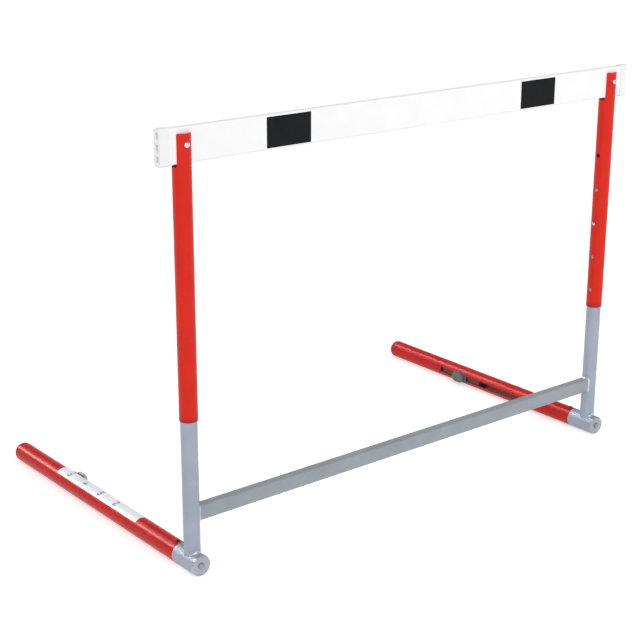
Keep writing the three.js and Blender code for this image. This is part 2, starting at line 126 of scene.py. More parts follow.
class Side(Enum):
    """One of the hurdle's two sides, named as seen from the front."""

    LEFT = "left"
    RIGHT = "right"

    @property
    def inward(self) -> float:
        """Direction along X towards the middle of the hurdle."""
        return 1.0 if self is Side.LEFT else -1.0

    def node(self, name: str) -> str:
        """Name of this side's CAD node for a part."""
        return f"{self.value}_{name}"


@dataclass(frozen=True)
class Span:
    """The box that a CAD node fills at rest.

    Attributes:
        low: Lowest corner, in metres.
        high: Highest corner, in metres.
    """

    low: Vector
    high: Vector

    @classmethod
    def of(cls, node: str) -> "Span":
        """Reads the span of a CAD node from the frame."""
        return cls(*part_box(node))

    @property
    def middle(self) -> Vector:
        """Centre of the box."""
        return (self.low + self.high) / 2

    @property
    def size(self) -> Vector:
        """Lengths of the box along X, Y and Z."""
        return self.high - self.low


# Shapes


def tidied(bm: BMesh) -> BMesh:
    """Merges a mesh's doubled vertices and turns every face outwards.

    Args:
        bm: Mesh to tidy, in place.

    Returns:
        The same mesh.
    """
    bmesh.ops.remove_doubles(bm, verts=bm.verts, dist=WELD_DISTANCE)
    bmesh.ops.dissolve_degenerate(bm, dist=WELD_DISTANCE / 10, edges=bm.edges)
    bmesh.ops.recalc_face_normals(bm, faces=bm.faces)
    return bm


def bevelled(
    bm: BMesh, parts: Sequence[object], width: float, segments: int, affect: str = "EDGES"
) -> BMesh:
    """Rounds some edges or vertices.

    Args:
        bm: Mesh to work on, in place.
        parts: The edges or vertices.
        width: Width of the rounding, in metres.
        segments: Faces across the rounding.
        affect: What is rounded, EDGES or VERTICES.

    Returns:
        The same mesh.
    """
    bmesh.ops.bevel(
        bm, geom=parts, offset=width, offset_type="OFFSET", segments=segments, profile=0.5,
        affect=affect, clamp_overlap=True, material=-1,
    )
    return bm


def softened(bm: BMesh, width: float, segments: int = 2, above: float = math.radians(35)) -> BMesh:
    """Rounds every edge that is sharper than an angle.

    Args:
        bm: Mesh to work on, in place.
        width: Width of the rounding, in metres.
        segments: Faces across the rounding.
        above: Angle between two faces from which their edge is rounded, in radians.

    Returns:
        The same mesh.
    """
    sharp = [edge for edge in bm.edges if edge.is_manifold and edge.calc_face_angle(0.0) > above]
    return bevelled(bm, sharp, width, segments)


def moved(bm: BMesh, place: Sequence[float], direction: Vector = UP) -> BMesh:
    """Points a shape made about Z along a direction, and puts its origin at a place.

    Args:
        bm: Mesh to move, in place.
        place: Where the shape's origin goes, in metres.
        direction: Where the shape's +Z goes.

    Returns:
        The same mesh.
    """
    turn = UP.rotation_difference(direction).to_matrix()
    bmesh.ops.rotate(bm, verts=bm.verts, cent=CENTRE, matrix=turn)
    bmesh.ops.translate(bm, verts=bm.verts, vec=Vector(place))
    return bm


def turned(profile: Sequence[Point], steps: int = ROUND_STEPS, closed: bool = True) -> BMesh:
    """Spins a profile about the Z axis.

    Args:
        profile: Points as (radius, place along the axis), in metres.
        steps: Faces round the shape.
        closed: True where the last point joins the first, False where both ends lie on the axis.

    Returns:
        The turned shell.
    """
    bm = bmesh.new()
    verts = [bm.verts.new((radius, 0.0, along)) for radius, along in profile]
    after = verts[1:] + verts[:1] if closed else verts[1:]
    edges = [bm.edges.new(pair) for pair in zip(verts, after)]
    bmesh.ops.spin(
        bm, geom=verts + edges, cent=CENTRE, axis=UP, dvec=CENTRE, angle=math.tau, steps=steps,
        use_merge=True,
    )
    return tidied(bm)


def pipe(outer: float, bore: float, start: float, end: float) -> BMesh:
    """A plain round tube about Z, from start to end."""
    return turned([(bore, start), (outer, start), (outer, end), (bore, end)])


def rod(radius: float, start: float, end: float, steps: int = SMALL_STEPS) -> BMesh:
    """A plain round bar about Z, from start to end."""
    return turned([(0.0, start), (radius, start), (radius, end), (0.0, end)], steps, closed=False)


def domed(
    lower: Sequence[Point], radius: float, start: float, end: float, curve: int = DOME_STEPS,
    steps: int = SMALL_STEPS,
) -> BMesh:
    """A turned pin with a domed end.

    Args:
        lower: Profile of the rest, as (radius, place along the axis), from the axis to the dome.
        radius: Radius of the dome's rim.
        start: Place of the rim along the axis.
        end: Place of the dome's top.
        curve: Straight lines in the dome's outline.
        steps: Faces round the pin.

    Returns:
        The pin.
    """
    angles = [step / curve * math.pi / 2 for step in range(curve)]
    arc = [(radius * math.cos(angle), start + (end - start) * math.sin(angle)) for angle in angles]
    return turned([*lower, *arc, (0.0, end)], steps, closed=False)


def block(size: Sequence[float], place: Sequence[float] = CENTRE) -> BMesh:
    """A plain block.

    Args:
        size: Lengths along X, Y and Z, in metres.
        place: Its centre.

    Returns:
        The block.
    """
    bm = bmesh.new()
    bmesh.ops.create_cube(bm, size=1.0)
    bmesh.ops.scale(bm, vec=Vector(size), verts=bm.verts)
    bmesh.ops.translate(bm, vec=Vector(place), verts=bm.verts)
    return bm


def bar(size: Sequence[float], corner: float, axis: int = 0, segments: int = 6) -> BMesh:
    """A block with four rounded long edges, centred on the origin.

    Args:
        size: Lengths along X, Y and Z, in metres.
        corner: Radius of the long edges.
        axis: Which of X, Y and Z the long edges follow.
        segments: Faces across each rounded edge.

    Returns:
        The bar.
    """
    bm = block(size)
    long_edges = [e for e in bm.edges if abs((e.verts[1].co - e.verts[0].co)[axis]) > size[axis] / 2]
    return tidied(bevelled(bm, long_edges, corner, segments))


def striped(bm: BMesh, axis: int, length: float, strips: int) -> BMesh:
    """Cuts a centred shape into strips of one width, so that it can be bent.

    Args:
        bm: Mesh to cut, in place.
        axis: Which of X, Y and Z the cuts stand across.
        length: The shape's length along it.
        strips: How many strips.

    Returns:
        The same mesh.
    """
    across = Vector([1.0 if i == axis else 0.0 for i in range(3)])
    for i in range(1, strips):
        everything = bm.verts[:] + bm.edges[:] + bm.faces[:]
        place = across * (length * (i / strips - 0.5))
        bmesh.ops.bisect_plane(bm, geom=everything, dist=WELD_DISTANCE, plane_co=place, plane_no=across)
    return bm


def patch(width: float, length: float, corner: float, strips: int) -> BMesh:
    """A flat sheet in XY with rounded corners, cut into strips across X so that it can be bent.

    Args:
        width: Its length along X, in metres.
        length: Its length along Y.
        corner: Radius of the corners.
        strips: How many strips.

    Returns:
        The sheet.
    """
    bm = bmesh.new()
    bmesh.ops.create_grid(bm, x_segments=1, y_segments=1, size=0.5)
    bmesh.ops.scale(bm, vec=Vector((width, length, 1.0)), verts=bm.verts)
    return striped(bevelled(bm, bm.verts[:], corner, CORNER_STEPS, "VERTICES"), 0, width, strips)


def wrapped(bm: BMesh, radius: float, thickness: float, lead: float = 0.0) -> BMesh:
    """Bends a flat sheet round a tube along Y, and gives it a thickness.

    Args:
        bm: Sheet in XY, whose X becomes arc length, in place.
        radius: Radius of the sheet's inner face, about an axis at the origin.
        thickness: How thick it becomes, outwards.
        lead: Angle from +Z towards +X at which the sheet's middle lies, in radians.

    Returns:
        The same mesh.
    """
    for vert in bm.verts:
        angle, reach = vert.co.x / radius + lead, radius + vert.co.z
        vert.co = Vector((reach * math.sin(angle), vert.co.y, reach * math.cos(angle)))
    bmesh.ops.recalc_face_normals(bm, faces=bm.faces)
    probe = bm.faces[:][0]
    middle = probe.calc_center_median()
    if probe.normal.dot(Vector((middle.x, 0.0, middle.z))) < 0.0:
        bmesh.ops.reverse_faces(bm, faces=bm.faces)
    bmesh.ops.solidify(bm, geom=bm.faces[:], thickness=-thickness)
    bmesh.ops.recalc_face_normals(bm, faces=bm.faces)
    return bm


def surface_at(radius: float, across: float) -> float:
    """How far a round bar's surface lies from its axis plane, at a distance across from its axis."""
    return math.sqrt(max(radius**2 - across**2, 0.0))


def corner_normals(bm: BMesh, below: float) -> list[Vector]:
    """Shading normals that keep broad faces true, and leave the turn at an edge to its rounding.

    Args:
        bm: Mesh to measure.
        below: Angle below which two faces at a vertex are shaded as one surface, in radians.

    Returns:
        One normal for each corner of each face, in the mesh's order.
    """
    bm.faces.index_update()
    areas = [face.calc_area() for face in bm.faces]
    least = math.cos(below)
    normals = []
    for face in bm.faces:
        for corner in face.loops:
            total = Vector()
            for other in corner.vert.link_loops:
                if face.normal.dot(other.face.normal) > least:
                    total += other.face.normal * (areas[other.face.index] * other.calc_angle())
            normals.append(total.normalized())
    return normals


def mesh_of(name: str, bm: BMesh) -> bpy.types.Mesh:
    """Makes mesh data of a shape.

    Args:
        name: Name of the mesh data.
        bm: The shape, which stays usable.

    Returns:
        The mesh data.
    """
    mesh = bpy.data.meshes.new(name)
    bm.to_mesh(mesh)
    return mesh


def shown(name: str, data: ID) -> Object:
    """Makes an object in the scene.

    Args:
        name: The object's name.
        data: What it shows.

    Returns:
        The object.
    """
    thing = bpy.data.objects.new(name, data)
    bpy.context.scene.collection.objects.link(thing)
    return thing


def shape_of(thing: Object) -> BMesh:
    """Takes an object's shape, with its modifiers applied.

    Args:
        thing: An object in the scene.

    Returns:
        The shape.
    """
    bpy.context.view_layer.update()
    whole = thing.evaluated_get(bpy.context.evaluated_depsgraph_get())
    bm = bmesh.new()
    bm.from_mesh(whole.to_mesh())
    whole.to_mesh_clear()
    return bm


def joined(bm: BMesh, other: BMesh) -> BMesh:
    """Adds another shape to a mesh.

    Args:
        bm: Mesh to add to, in place.
        other: What is added, which is used up.

    Returns:
        The same mesh.
    """
    mesh = mesh_of("joined", other)
    other.free()
    bm.from_mesh(mesh)
    bpy.data.meshes.remove(mesh)
    return bm


def carved(body: BMesh, cutters: Sequence[BMesh]) -> BMesh:
    """Cuts shapes out of a body.

    Args:
        body: Closed mesh to cut, which is used up.
        cutters: Closed meshes to take away, which are used up.

    Returns:
        What is left of the body.
    """
    target, *tools = [shown("scratch", mesh_of("scratch", bm)) for bm in (body, *cutters)]
    for tool in tools:
        cut = target.modifiers.new("cut", "BOOLEAN")
        cut.operation = "DIFFERENCE"
        cut.solver = "EXACT"
        cut.object = tool
    left = shape_of(target)
    for thing, bm in zip((target, *tools), (body, *cutters)):
        mesh = thing.data
        bpy.data.objects.remove(thing)
        bpy.data.meshes.remove(mesh)
        bm.free()
    return tidied(left)


@dataclass(frozen=True)
class Station:
    """One place along a weld.

    Attributes:
        root: Where the two welded surfaces meet.
        first: Where the weld ends on the one surface.
        second: Where it ends on the other.
        outward: Direction in which the weld stands out.
    """

    root: Vector
    first: Vector
    second: Vector
    outward: Vector


def fillet_weld(stations: Sequence[Station], hollow: float, ripples: int, sides: int = 9) -> BMesh:
    """A closed weld in the corner between two surfaces, with the ripples of its passes.

    Args:
        stations: Places along the weld, in order.
        hollow: How far the weld's face sinks below a straight line between its edges.
        ripples: How many ripples go round the weld.
        sides: Faces across the weld's face.

    Returns:
        The weld.
    """
    bm = bmesh.new()
    rings = []
    for i, station in enumerate(stations):
        turn = i / len(stations) * math.tau
        wave = 0.5 * math.cos(turn * ripples) + 0.5 * math.cos(turn * 5 + 1.0) * math.cos(turn * 3)
        ring = [bm.verts.new(station.root)]
        for step in range(sides + 1):
            lift = math.sin(step / sides * math.pi) * (WELD_RIPPLE * wave - hollow)
            across = station.first.lerp(station.second, step / sides)
            ring.append(bm.verts.new(across + station.outward * lift))
        rings.append(ring)
    for before, ring in zip(rings[-1:] + rings[:-1], rings):
        for j in range(len(ring)):
            bm.faces.new((before[j - 1], before[j], ring[j], ring[j - 1]))
    return tidied(bm)


# Finishes

TONE_SIZE = 55 * MM
POLISH_SIZE = 22 * MM
SCUFF_SIZE = 7 * MM
SCUFF_COLOR = (214, 208, 202)
DUST_SIZE = 14 * MM
DUST_HEIGHT = 30 * MM
DUST_COLOR = (168, 158, 146)


def linear(color: Color, factor: float = 1.0) -> Levels:
    """Turns a colour as it is seen into the values that shaders take.

    Args:
        color: Red, green and blue, from 0 to 255.
        factor: How much lighter or darker the colour becomes first.

    Returns:
        The four values, with full opacity.
    """
    parts = [min(255.0, value * factor) / 255 for value in color]
    red, green, blue = [v / 12.92 if v <= 0.04045 else ((v + 0.055) / 1.055) ** 2.4 for v in parts]
    return (red, green, blue, 1.0)


class Graph:
    """A node tree, with short calls for the steps that finishes, floor and world share."""

    def __init__(self, tree: NodeTree) -> None:
        """Takes over a node tree and empties it."""
        self.tree = tree
        tree.nodes.clear()

    def feed(self, socket: NodeSocket, value: object) -> None:
        """Gives a socket its value.

        Args:
            socket: Input to feed.
            value: Another socket to link it to, or a plain value.
        """
        if isinstance(value, NodeSocket):
            self.tree.links.new(value, socket)
        else:
            socket.default_value = value

    def node(self, kind: str, inputs: dict[str | int, object] | None = None) -> Node:
        """Makes a shader node.

        Args:
            kind: Its type, without the word that all of them begin with.
            inputs: Socket or plain value for some of its inputs, by their name or number.

        Returns:
            The node.
        """
        node = self.tree.nodes.new(f"ShaderNode{kind}")
        for key, value in (inputs or {}).items():
            self.feed(node.inputs[key], value)
        return node

    def math(self, operation: str, first: object, second: object = 0.0) -> NodeSocket:
        """One step of arithmetic.

        Args:
            operation: Name of the step.
            first: Socket or plain number.
            second: Socket or plain number, where the step takes two.

        Returns:
            Socket of the result.
        """
        node = self.node("Math", {0: first, 1: second})
        node.operation = operation
        return node.outputs[0]

    def fade(
        self, value: NodeSocket, start: float, end: float, low: float = 0.0, high: float = 1.0
    ) -> NodeSocket:
        """Maps a value from one range to another, and holds it at the ends.

        Args:
            value: Socket to map.
            start: Value that becomes low.
            end: Value that becomes high.
            low: Result at start.
            high: Result at end.

        Returns:
            Socket of the mapped value.
        """
        ends = {"From Min": start, "From Max": end, "To Min": low, "To Max": high}
        return self.node("MapRange", {"Value": value, **ends}).outputs["Result"]

    def blend(self, factor: object, first: object, second: object) -> NodeSocket:
        """Mixes two colours.

        Args:
            factor: How much of the second colour.
            first: Colour or socket at 0.
            second: Colour or socket at 1.

        Returns:
            Socket of the mixed colour.
        """
        node = self.node("Mix", {"Factor": factor})
        node.data_type = "RGBA"
        colors = [socket for socket in node.inputs if socket.type == "RGBA"]
        for socket, value in zip(colors, (first, second)):
            self.feed(socket, value)
        return next(socket for socket in node.outputs if socket.type == "RGBA")


class Shade(Graph):
    """A material's nodes: its surface shader, and patterns over the object."""

    def __init__(self, name: str) -> None:
        """Makes a material with an even surface."""
        self.material = bpy.data.materials.new(name)
        self.material.use_nodes = True
        super().__init__(self.material.node_tree)
        self.surface = self.node("BsdfPrincipled")
        self.node("OutputMaterial", {"Surface": self.surface.outputs["BSDF"]})
        self.place = self.node("TexCoord").outputs["Object"]

    def noise(self, size: float, detail: float = 3.0, stretch: Sequence[float] = EVEN) -> NodeSocket:
        """Soft noise over the object.

        Args:
            size: Rough size of a blotch, in metres.
            detail: How much finer noise is laid over it.
            stretch: How much longer a blotch is along X, Y and Z.

        Returns:
            Socket of a value about 0.5.
        """
        scale = [1.0 / (size * factor) for factor in stretch]
        place = self.node("Mapping", {"Vector": self.place, "Scale": scale}).outputs["Vector"]
        return self.node("TexNoise", {"Vector": place, "Scale": 1.0, "Detail": detail}).outputs["Fac"]

    def axis(self, name: str) -> NodeSocket:
        """One of the object coordinates X, Y and Z, in metres."""
        return self.node("SeparateXYZ", {"Vector": self.place}).outputs[name]

    def off(self, name: str, place: float) -> NodeSocket:
        """Distance from a place along X, Y or Z, in metres."""
        return self.math("SUBTRACT", self.axis(name), place)

    def relief(self, height: NodeSocket, depth: float, under: NodeSocket | None = None) -> NodeSocket:
        """Raises the surface by a height map.

        Args:
            height: Socket of the height, from 0 to 1.
            depth: Height in metres at 1.
            under: Relief that lies under this one.

        Returns:
            Socket of the normal.
        """
        inputs = {"Distance": depth, "Height": height} | ({"Normal": under} if under else {})
        return self.node("Bump", inputs).outputs["Normal"]


@dataclass(frozen=True)
class Finish:
    """A surface finish, with colour that drifts a little, fine texture, scuffs and dust near the ground.

    Attributes:
        name: The material's name.
        slot: The record's material slot, or an empty string.
        color: Colour as it is seen, from 0 to 255.
        roughness: How matt it is.
        metallic: How metallic it is.
        specular: Strength of the reflection, where 0.5 is plain plastic.
        drift: How far the colour drifts, as a share.
        grain: Size of the fine texture, in metres.
        depth: Height of the fine texture, in metres.
        stretch: How much longer the fine texture is along X, Y and Z.
        scuffs: How strong the scuffs are.
        dust: How strong the dust near the ground is.
    """

    name: str
    slot: str
    color: Color
    roughness: float
    metallic: float = 0.0
    specular: float = 0.5
    drift: float = 0.05
    grain: float = 1.2 * MM
    depth: float = 0.02 * MM
    stretch: Sequence[float] = EVEN
    scuffs: float = 0.0
    dust: float = 0.0

    def material(self) -> Material:
        """Makes the finish's material.

        Returns:
            The material.
        """
        shade = Shade(self.name)
        color = self.body_color(shade)
        polish = shade.noise(POLISH_SIZE)
        rough = shade.fade(polish, 0.3, 0.7, self.roughness * 0.88, min(1.0, self.roughness * 1.14))
        if self.scuffs:
            streaks = shade.fade(shade.noise(SCUFF_SIZE, 7.0), 0.64, 0.76, 0.0, self.scuffs)
            color = shade.blend(streaks, color, linear(SCUFF_COLOR))
            rough = shade.math("ADD", rough, shade.math("MULTIPLY", streaks, 0.3))
        if self.dust:
            low = shade.fade(shade.axis("Z"), 0.0, DUST_HEIGHT, 1.0, 0.0)
            darkening = shade.math("MULTIPLY", low, shade.noise(DUST_SIZE, 5.0))
            color = shade.blend(shade.math("MULTIPLY", darkening, self.dust), color, linear(DUST_COLOR))
        inputs = {
            "Base Color": color, "Roughness": rough, "Metallic": self.metallic,
            "Specular IOR Level": self.specular, "Normal": self.texture(shade),
        }
        for name, value in inputs.items():
            shade.feed(shade.surface.inputs[name], value)
        return shade.material

    def body_color(self, shade: Shade) -> NodeSocket:
        """Colour that drifts between a darker and a lighter tone.

        Args:
            shade: The material to build in.

        Returns:
            Socket of the colour.
        """
        tones = [linear(self.color, 1.0 + share) for share in (-self.drift, self.drift)]
        return shade.blend(shade.fade(shade.noise(TONE_SIZE, 4.0), 0.3, 0.7), *tones)

    def marked(self, shade: Shade, factor: NodeSocket, second: Levels) -> NodeSocket:
        """The drifting colour, with a second colour laid over it by a factor."""
        return shade.blend(factor, Finish.body_color(self, shade), second)

    def texture(self, shade: Shade) -> NodeSocket:
        """Fine texture of the surface, as the socket of its normal."""
        return shade.relief(shade.noise(self.grain, 2.0, self.stretch), self.depth)


@dataclass(frozen=True)
class PowderCoat(Finish):
    """Sprayed and baked paint: the skin of an orange in the gloss, over a slow wave."""

    drift: float = 0.03
    wave_size: float = 6 * MM

    def texture(self, shade: Shade) -> NodeSocket:
        """Fine orange-peel skin over a slower wave."""
        slow = shade.relief(shade.noise(self.wave_size, 1.0), self.depth * 2)
        return shade.relief(shade.noise(self.grain, 2.0), self.depth, slow)


@dataclass(frozen=True)
class SlidingPaint(PowderCoat):
    """Paint with faint upright rub marks, where a tube slides over it."""

    rub_width: float = 1.6 * MM

    def body_color(self, shade: Shade) -> NodeSocket:
        """Drifting colour with thin paler lines along Z."""
        lines = shade.fade(shade.noise(self.rub_width, 3.0, (1.0, 1.0, 60.0)), 0.6, 0.75, 0.0, 0.22)
        return self.marked(shade, lines, linear(self.color, 1.16))


@dataclass(frozen=True)
class SleeveCoat(PowderCoat):
    """Paint of the upper tubes, with painted shade round their lower ends, where the rims turn in.

    Attributes:
        end_z: Height of the lower ends, in metres.
        solid: How far up the painted shade is whole.
        rubbed: How far up the painted shade has faded out.
        dark: Colour of the painted shade.
    """

    end_z: float = 0.0
    solid: float = 2 * MM
    rubbed: float = 14 * MM
    dark: Color = (162, 34, 30)

    def body_color(self, shade: Shade) -> NodeSocket:
        """Drifting colour with painted shade towards the lower end."""
        # Painted shade: darkens the paint near the lower end, standing in for the shade of the turned-in
        # rim.
        low = shade.fade(shade.off("Z", self.end_z), self.solid, self.rubbed, 0.9, 0.0)
        return self.marked(shade, low, linear(self.dark))


@dataclass(frozen=True)
class TubeCoat(PowderCoat):
    """Paint on the outside of the feet's tubes, which are left bare inside.

    Attributes:
        axis: Distance of the tubes' axes from the middle of the hurdle, and their height, in metres.
        bare: Radius below which a tube is bare.
        inside: Colour of the bare metal, made paler as painted light that reaches in through the slot.
    """

    axis: Point = (0.0, 0.0)
    bare: float = 19 * MM
    # Bare metal inside with painted light: paler than bare steel, as if lit through the slot.
    inside: Color = (206, 150, 140)

    def body_color(self, shade: Shade) -> NodeSocket:
        """Drifting colour outside, and bare metal inside, painted paler to stand in for light that reaches
        in.

        Args:
            shade: The material to build in.

        Returns:
            Socket of the colour.
        """
        aside = shade.math("SUBTRACT", shade.math("ABSOLUTE", shade.axis("X")), self.axis[0])
        above = shade.off("Z", self.axis[1])
        squares = [shade.math("MULTIPLY", value, value) for value in (aside, above)]
        within = shade.math("LESS_THAN", shade.math("ADD", *squares), self.bare * self.bare)
        return self.marked(shade, within, linear(self.inside))


@dataclass(frozen=True)
class MouldedPlastic(Finish):
    """Moulded or extruded plastic: a fine spark-eroded grain with long, faint flow marks."""

    specular: float = 0.3
    grain: float = 0.5 * MM
    flow_width: float = 3 * MM

    def texture(self, shade: Shade) -> NodeSocket:
        """Fine grain over long flow marks."""
        flow = shade.relief(shade.noise(self.flow_width, 2.0, self.stretch), self.depth * 1.5)
        return shade.relief(shade.noise(self.grain, 3.0), self.depth, flow)


@dataclass(frozen=True)
class CapPlastic(MouldedPlastic):
    """Moulded plastic with painted shade in its recesses.

    Attributes:
        end_x: Distance of the recessed faces from the middle of the hurdle along X, in metres.
        half_depth: Half of a recess's width along Y.
        middle_y: Place of the recesses along Y.
        clean: How deep the recesses stay free of painted shade.
        dirty: Depth from which the painted shade is at its darkest.
        bottom: Depth below which nothing is shaded.
        dirt: Colour of the painted shade.
    """

    end_x: float = 0.0
    half_depth: float = 0.0
    middle_y: float = 0.0
    clean: float = 0.6 * MM
    dirty: float = 2.6 * MM
    bottom: float = 3.6 * MM
    dirt: Color = (168, 164, 164)

    def body_color(self, shade: Shade) -> NodeSocket:
        """Drifting colour with painted shade that darkens towards the bottom of the recesses.

        Args:
            shade: The material to build in.

        Returns:
            Socket of the colour.
        """
        # Painted shade: the recessed faces darken with depth, where shade falls.
        inwards = shade.math("SUBTRACT", self.end_x, shade.math("ABSOLUTE", shade.axis("X")))
        across = shade.math("ABSOLUTE", shade.off("Y", self.middle_y))
        within = shade.math("LESS_THAN", across, self.half_depth)
        shallow = shade.math("LESS_THAN", inwards, self.bottom)
        deep = shade.math("MULTIPLY", shade.fade(inwards, self.clean, self.dirty), within)
        darkening = shade.math("MULTIPLY", shade.math("MULTIPLY", deep, shallow), 0.35)
        return self.marked(shade, darkening, linear(self.dirt))


@dataclass(frozen=True)
class PlatedSteel(Finish):
    """Zinc plate: bright metal with small crystals and darker drying marks."""

    drift: float = 0.06
    grain: float = 0.9 * MM
    depth: float = 0.01 * MM
    crystal_size: float = 2.2 * MM

    def body_color(self, shade: Shade) -> NodeSocket:
        """Metal colour broken up by crystals."""
        crystals = shade.fade(shade.noise(self.crystal_size, 5.0), 0.42, 0.62, 0.0, 0.35)
        return self.marked(shade, crystals, linear(self.color, 0.82))


@dataclass(frozen=True)
class CastBar(Finish):
    """Dark bar with turning marks round its axis and specks of rust."""

    speck_size: float = 5 * MM
    rust_color: Color = (112, 66, 42)

    def body_color(self, shade: Shade) -> NodeSocket:
        """Dark metal with specks of rust."""
        specks = shade.fade(shade.noise(self.speck_size, 8.0), 0.6, 0.7, 0.0, 0.5)
        return self.marked(shade, specks, linear(self.rust_color))


@dataclass(frozen=True)
class ScaleFilm(Finish):
    """Pale film with printed lines across it at a steady pitch.

    Attributes:
        start: Place of the first line along Y, in metres.
        axis_x: Place of the tube's axis along X.
        half_width: Half of the film's width.
        inward: Direction along X towards the middle of the hurdle.
        pitch: Distance between two short lines.
        long_every: How many steps there are from one long line to the next.
        line_share: Half of a short line's width, as a share of the pitch.
        long_weight: How many times as wide the long lines are.
        short_share: Where the short lines end, as a share of the half width.
        long_share: Where the long lines end, as a share of the half width.
        ink: Colour of the lines.
    """

    start: float = 0.0
    axis_x: float = 0.0
    half_width: float = 0.0
    inward: float = 1.0
    pitch: float = 10 * MM
    long_every: float = 5.0
    line_share: float = 0.06
    long_weight: float = 1.3
    short_share: float = 0.55
    long_share: float = 0.2
    ink: Color = (92, 98, 112)

    def body_color(self, shade: Shade) -> NodeSocket:
        """Pale film with short and long printed lines.

        Args:
            shade: The material to build in.

        Returns:
            Socket of the colour.
        """
        along = shade.math("DIVIDE", shade.off("Y", self.start), self.pitch)
        across = shade.math("MULTIPLY", shade.off("X", self.axis_x), self.inward)
        short = self.lines(shade, along, self.line_share, across, self.short_share)
        steps = shade.math("DIVIDE", along, self.long_every)
        half = self.line_share / self.long_every * self.long_weight
        long = self.lines(shade, steps, half, across, self.long_share)
        printed = shade.math("MULTIPLY", shade.math("MAXIMUM", short, long), 0.5)
        return self.marked(shade, printed, linear(self.ink))

    def lines(
        self, shade: Shade, steps: NodeSocket, half: float, across: NodeSocket, reach: float
    ) -> NodeSocket:
        """Printed lines at whole steps, from the inner edge of the film part of the way across.

        Args:
            shade: The material to build in.
            steps: Place along the film, in steps.
            half: Half of a line's width, in steps.
            across: Place across the film, positive towards the middle of the hurdle.
            reach: Where the line ends, as a share of the film's half width.

        Returns:
            Socket that is 1 on a line.
        """
        nearest = shade.math("ABSOLUTE", shade.math("SUBTRACT", steps, shade.math("ROUND", steps)))
        on_line = shade.math("LESS_THAN", nearest, half)
        return shade.math("MULTIPLY", on_line, shade.math("GREATER_THAN", across, reach * self.half_width))


class Palette:
    """The hurdle's finishes, each made once when it is first asked for."""

    def __init__(self) -> None:
        """Lists the finishes that need no sizes of the pieces that they cover."""
        red = {"specular": 0.14, "scuffs": 0.03, "dust": 0.06, "depth": 0.012 * MM}
        foot = Span.of("right_foot_tube").middle
        sleeve_end = Span.of("right_upper_tube").low.z
        listed = [
            PowderCoat("dome_coat", "foot_red", (202, 32, 28), 0.27, **red),
            TubeCoat("foot_coat", "foot_red", (202, 32, 28), 0.26, **red, axis=(foot.x, foot.z)),
            SleeveCoat(
                "upright_coat", "upright_red", (216, 38, 22), 0.4, specular=0.2, drift=0.02, scuffs=0.02,
                end_z=sleeve_end,
            ),
            PowderCoat(
                "brace_paint", "grey_paint", (151, 157, 165), 0.42, metallic=0.12, scuffs=0.05, dust=0.1
            ),
            PowderCoat(
                "stub_paint", "grey_paint", (158, 165, 179), 0.5, metallic=0.35, specular=0.8, scuffs=0.04,
                dust=0.1, depth=0.012 * MM,
            ),
            SlidingPaint(
                "silver_paint", "grey_paint", (162, 169, 183), 0.36, metallic=0.15, specular=0.3,
                scuffs=0.05, dust=0.12,
            ),
            # Welds: the grey paint made lighter, a painted highlight standing in for the light that the
            # beads catch.
            PowderCoat(
                "weld_paint", "grey_paint", (196, 199, 212), 0.3, metallic=0.5, drift=0.08, depth=0.08 * MM
            ),
            PowderCoat(
                "disc_paint", "grey_paint", (170, 174, 183), 0.34, metallic=0.4, drift=0.05, scuffs=0.15,
                dust=0.2,
            ),
            MouldedPlastic(
                "board_plastic", "white_plastic", (250, 250, 251), 0.45, drift=0.008, grain=0.8 * MM,
                depth=0.006 * MM, stretch=(40.0, 1.0, 1.0),
            ),
            MouldedPlastic(
                "band_film", "black_film", (27, 28, 31), 0.55, specular=0.08, drift=0.08, depth=0.006 * MM
            ),
            MouldedPlastic("shoe_plastic", "grey_plastic", (98, 97, 97), 0.5, drift=0.06),
            MouldedPlastic("scale_ink", "", (148, 160, 186), 0.5, specular=0.2, depth=0.004 * MM),
            PlatedSteel("zinc", "zinc_steel", (205, 207, 212), 0.26, metallic=0.9),
            PlatedSteel("bolt_zinc", "zinc_steel", (160, 163, 168), 0.32, metallic=0.5),
            # The two knobs share one zinc: the left copy is painted lighter as if lit, the right copy
            # darker as painted shade.
            PlatedSteel("left_grip_zinc", "zinc_steel", (186, 189, 193), 0.42, metallic=0.15),
            PlatedSteel("right_grip_zinc", "zinc_steel", (106, 108, 103), 0.48, metallic=0.15),
            # The foot screws' near-black colour is painted shade, standing in for the shade at the foot of
            # the post.
            PlatedSteel(
                "dark_screw", "spring_steel", (72, 60, 60), 0.4, metallic=0.6, drift=0.08, grain=0.7 * MM
            ),
            PlatedSteel(
                "spring", "spring_steel", (125, 128, 134), 0.3, metallic=0.9, stretch=(1.0, 1.0, 8.0),
                grain=1.2 * MM, depth=0.02 * MM,
            ),
            CastBar(
                "weight_iron", "cast_iron", (98, 66, 62), 0.62, metallic=0.4, drift=0.1, depth=0.06 * MM,
                stretch=(12.0, 0.6, 12.0),
            ),
        ]
        self.finishes = {finish.name: finish for finish in listed}
        self.made: dict[str, Material] = {}

    def add(self, finish: Finish) -> str:
        """Lists one more finish, and tells its name."""
        self.finishes[finish.name] = finish
        return finish.name

    def coat(self, piece: Object, name: str) -> None:
        """Gives a piece a finish.

        Args:
            piece: Piece or CAD node to dress.
            name: Name of the finish.
        """
        finish = self.finishes[name]
        if name not in self.made:
            self.made[name] = finish.material()
        if not piece.material_slots:
            piece.data.materials.append(self.made[name])
        for material_slot in piece.material_slots:
            material_slot.material = self.made[name]


# Sub-assemblies


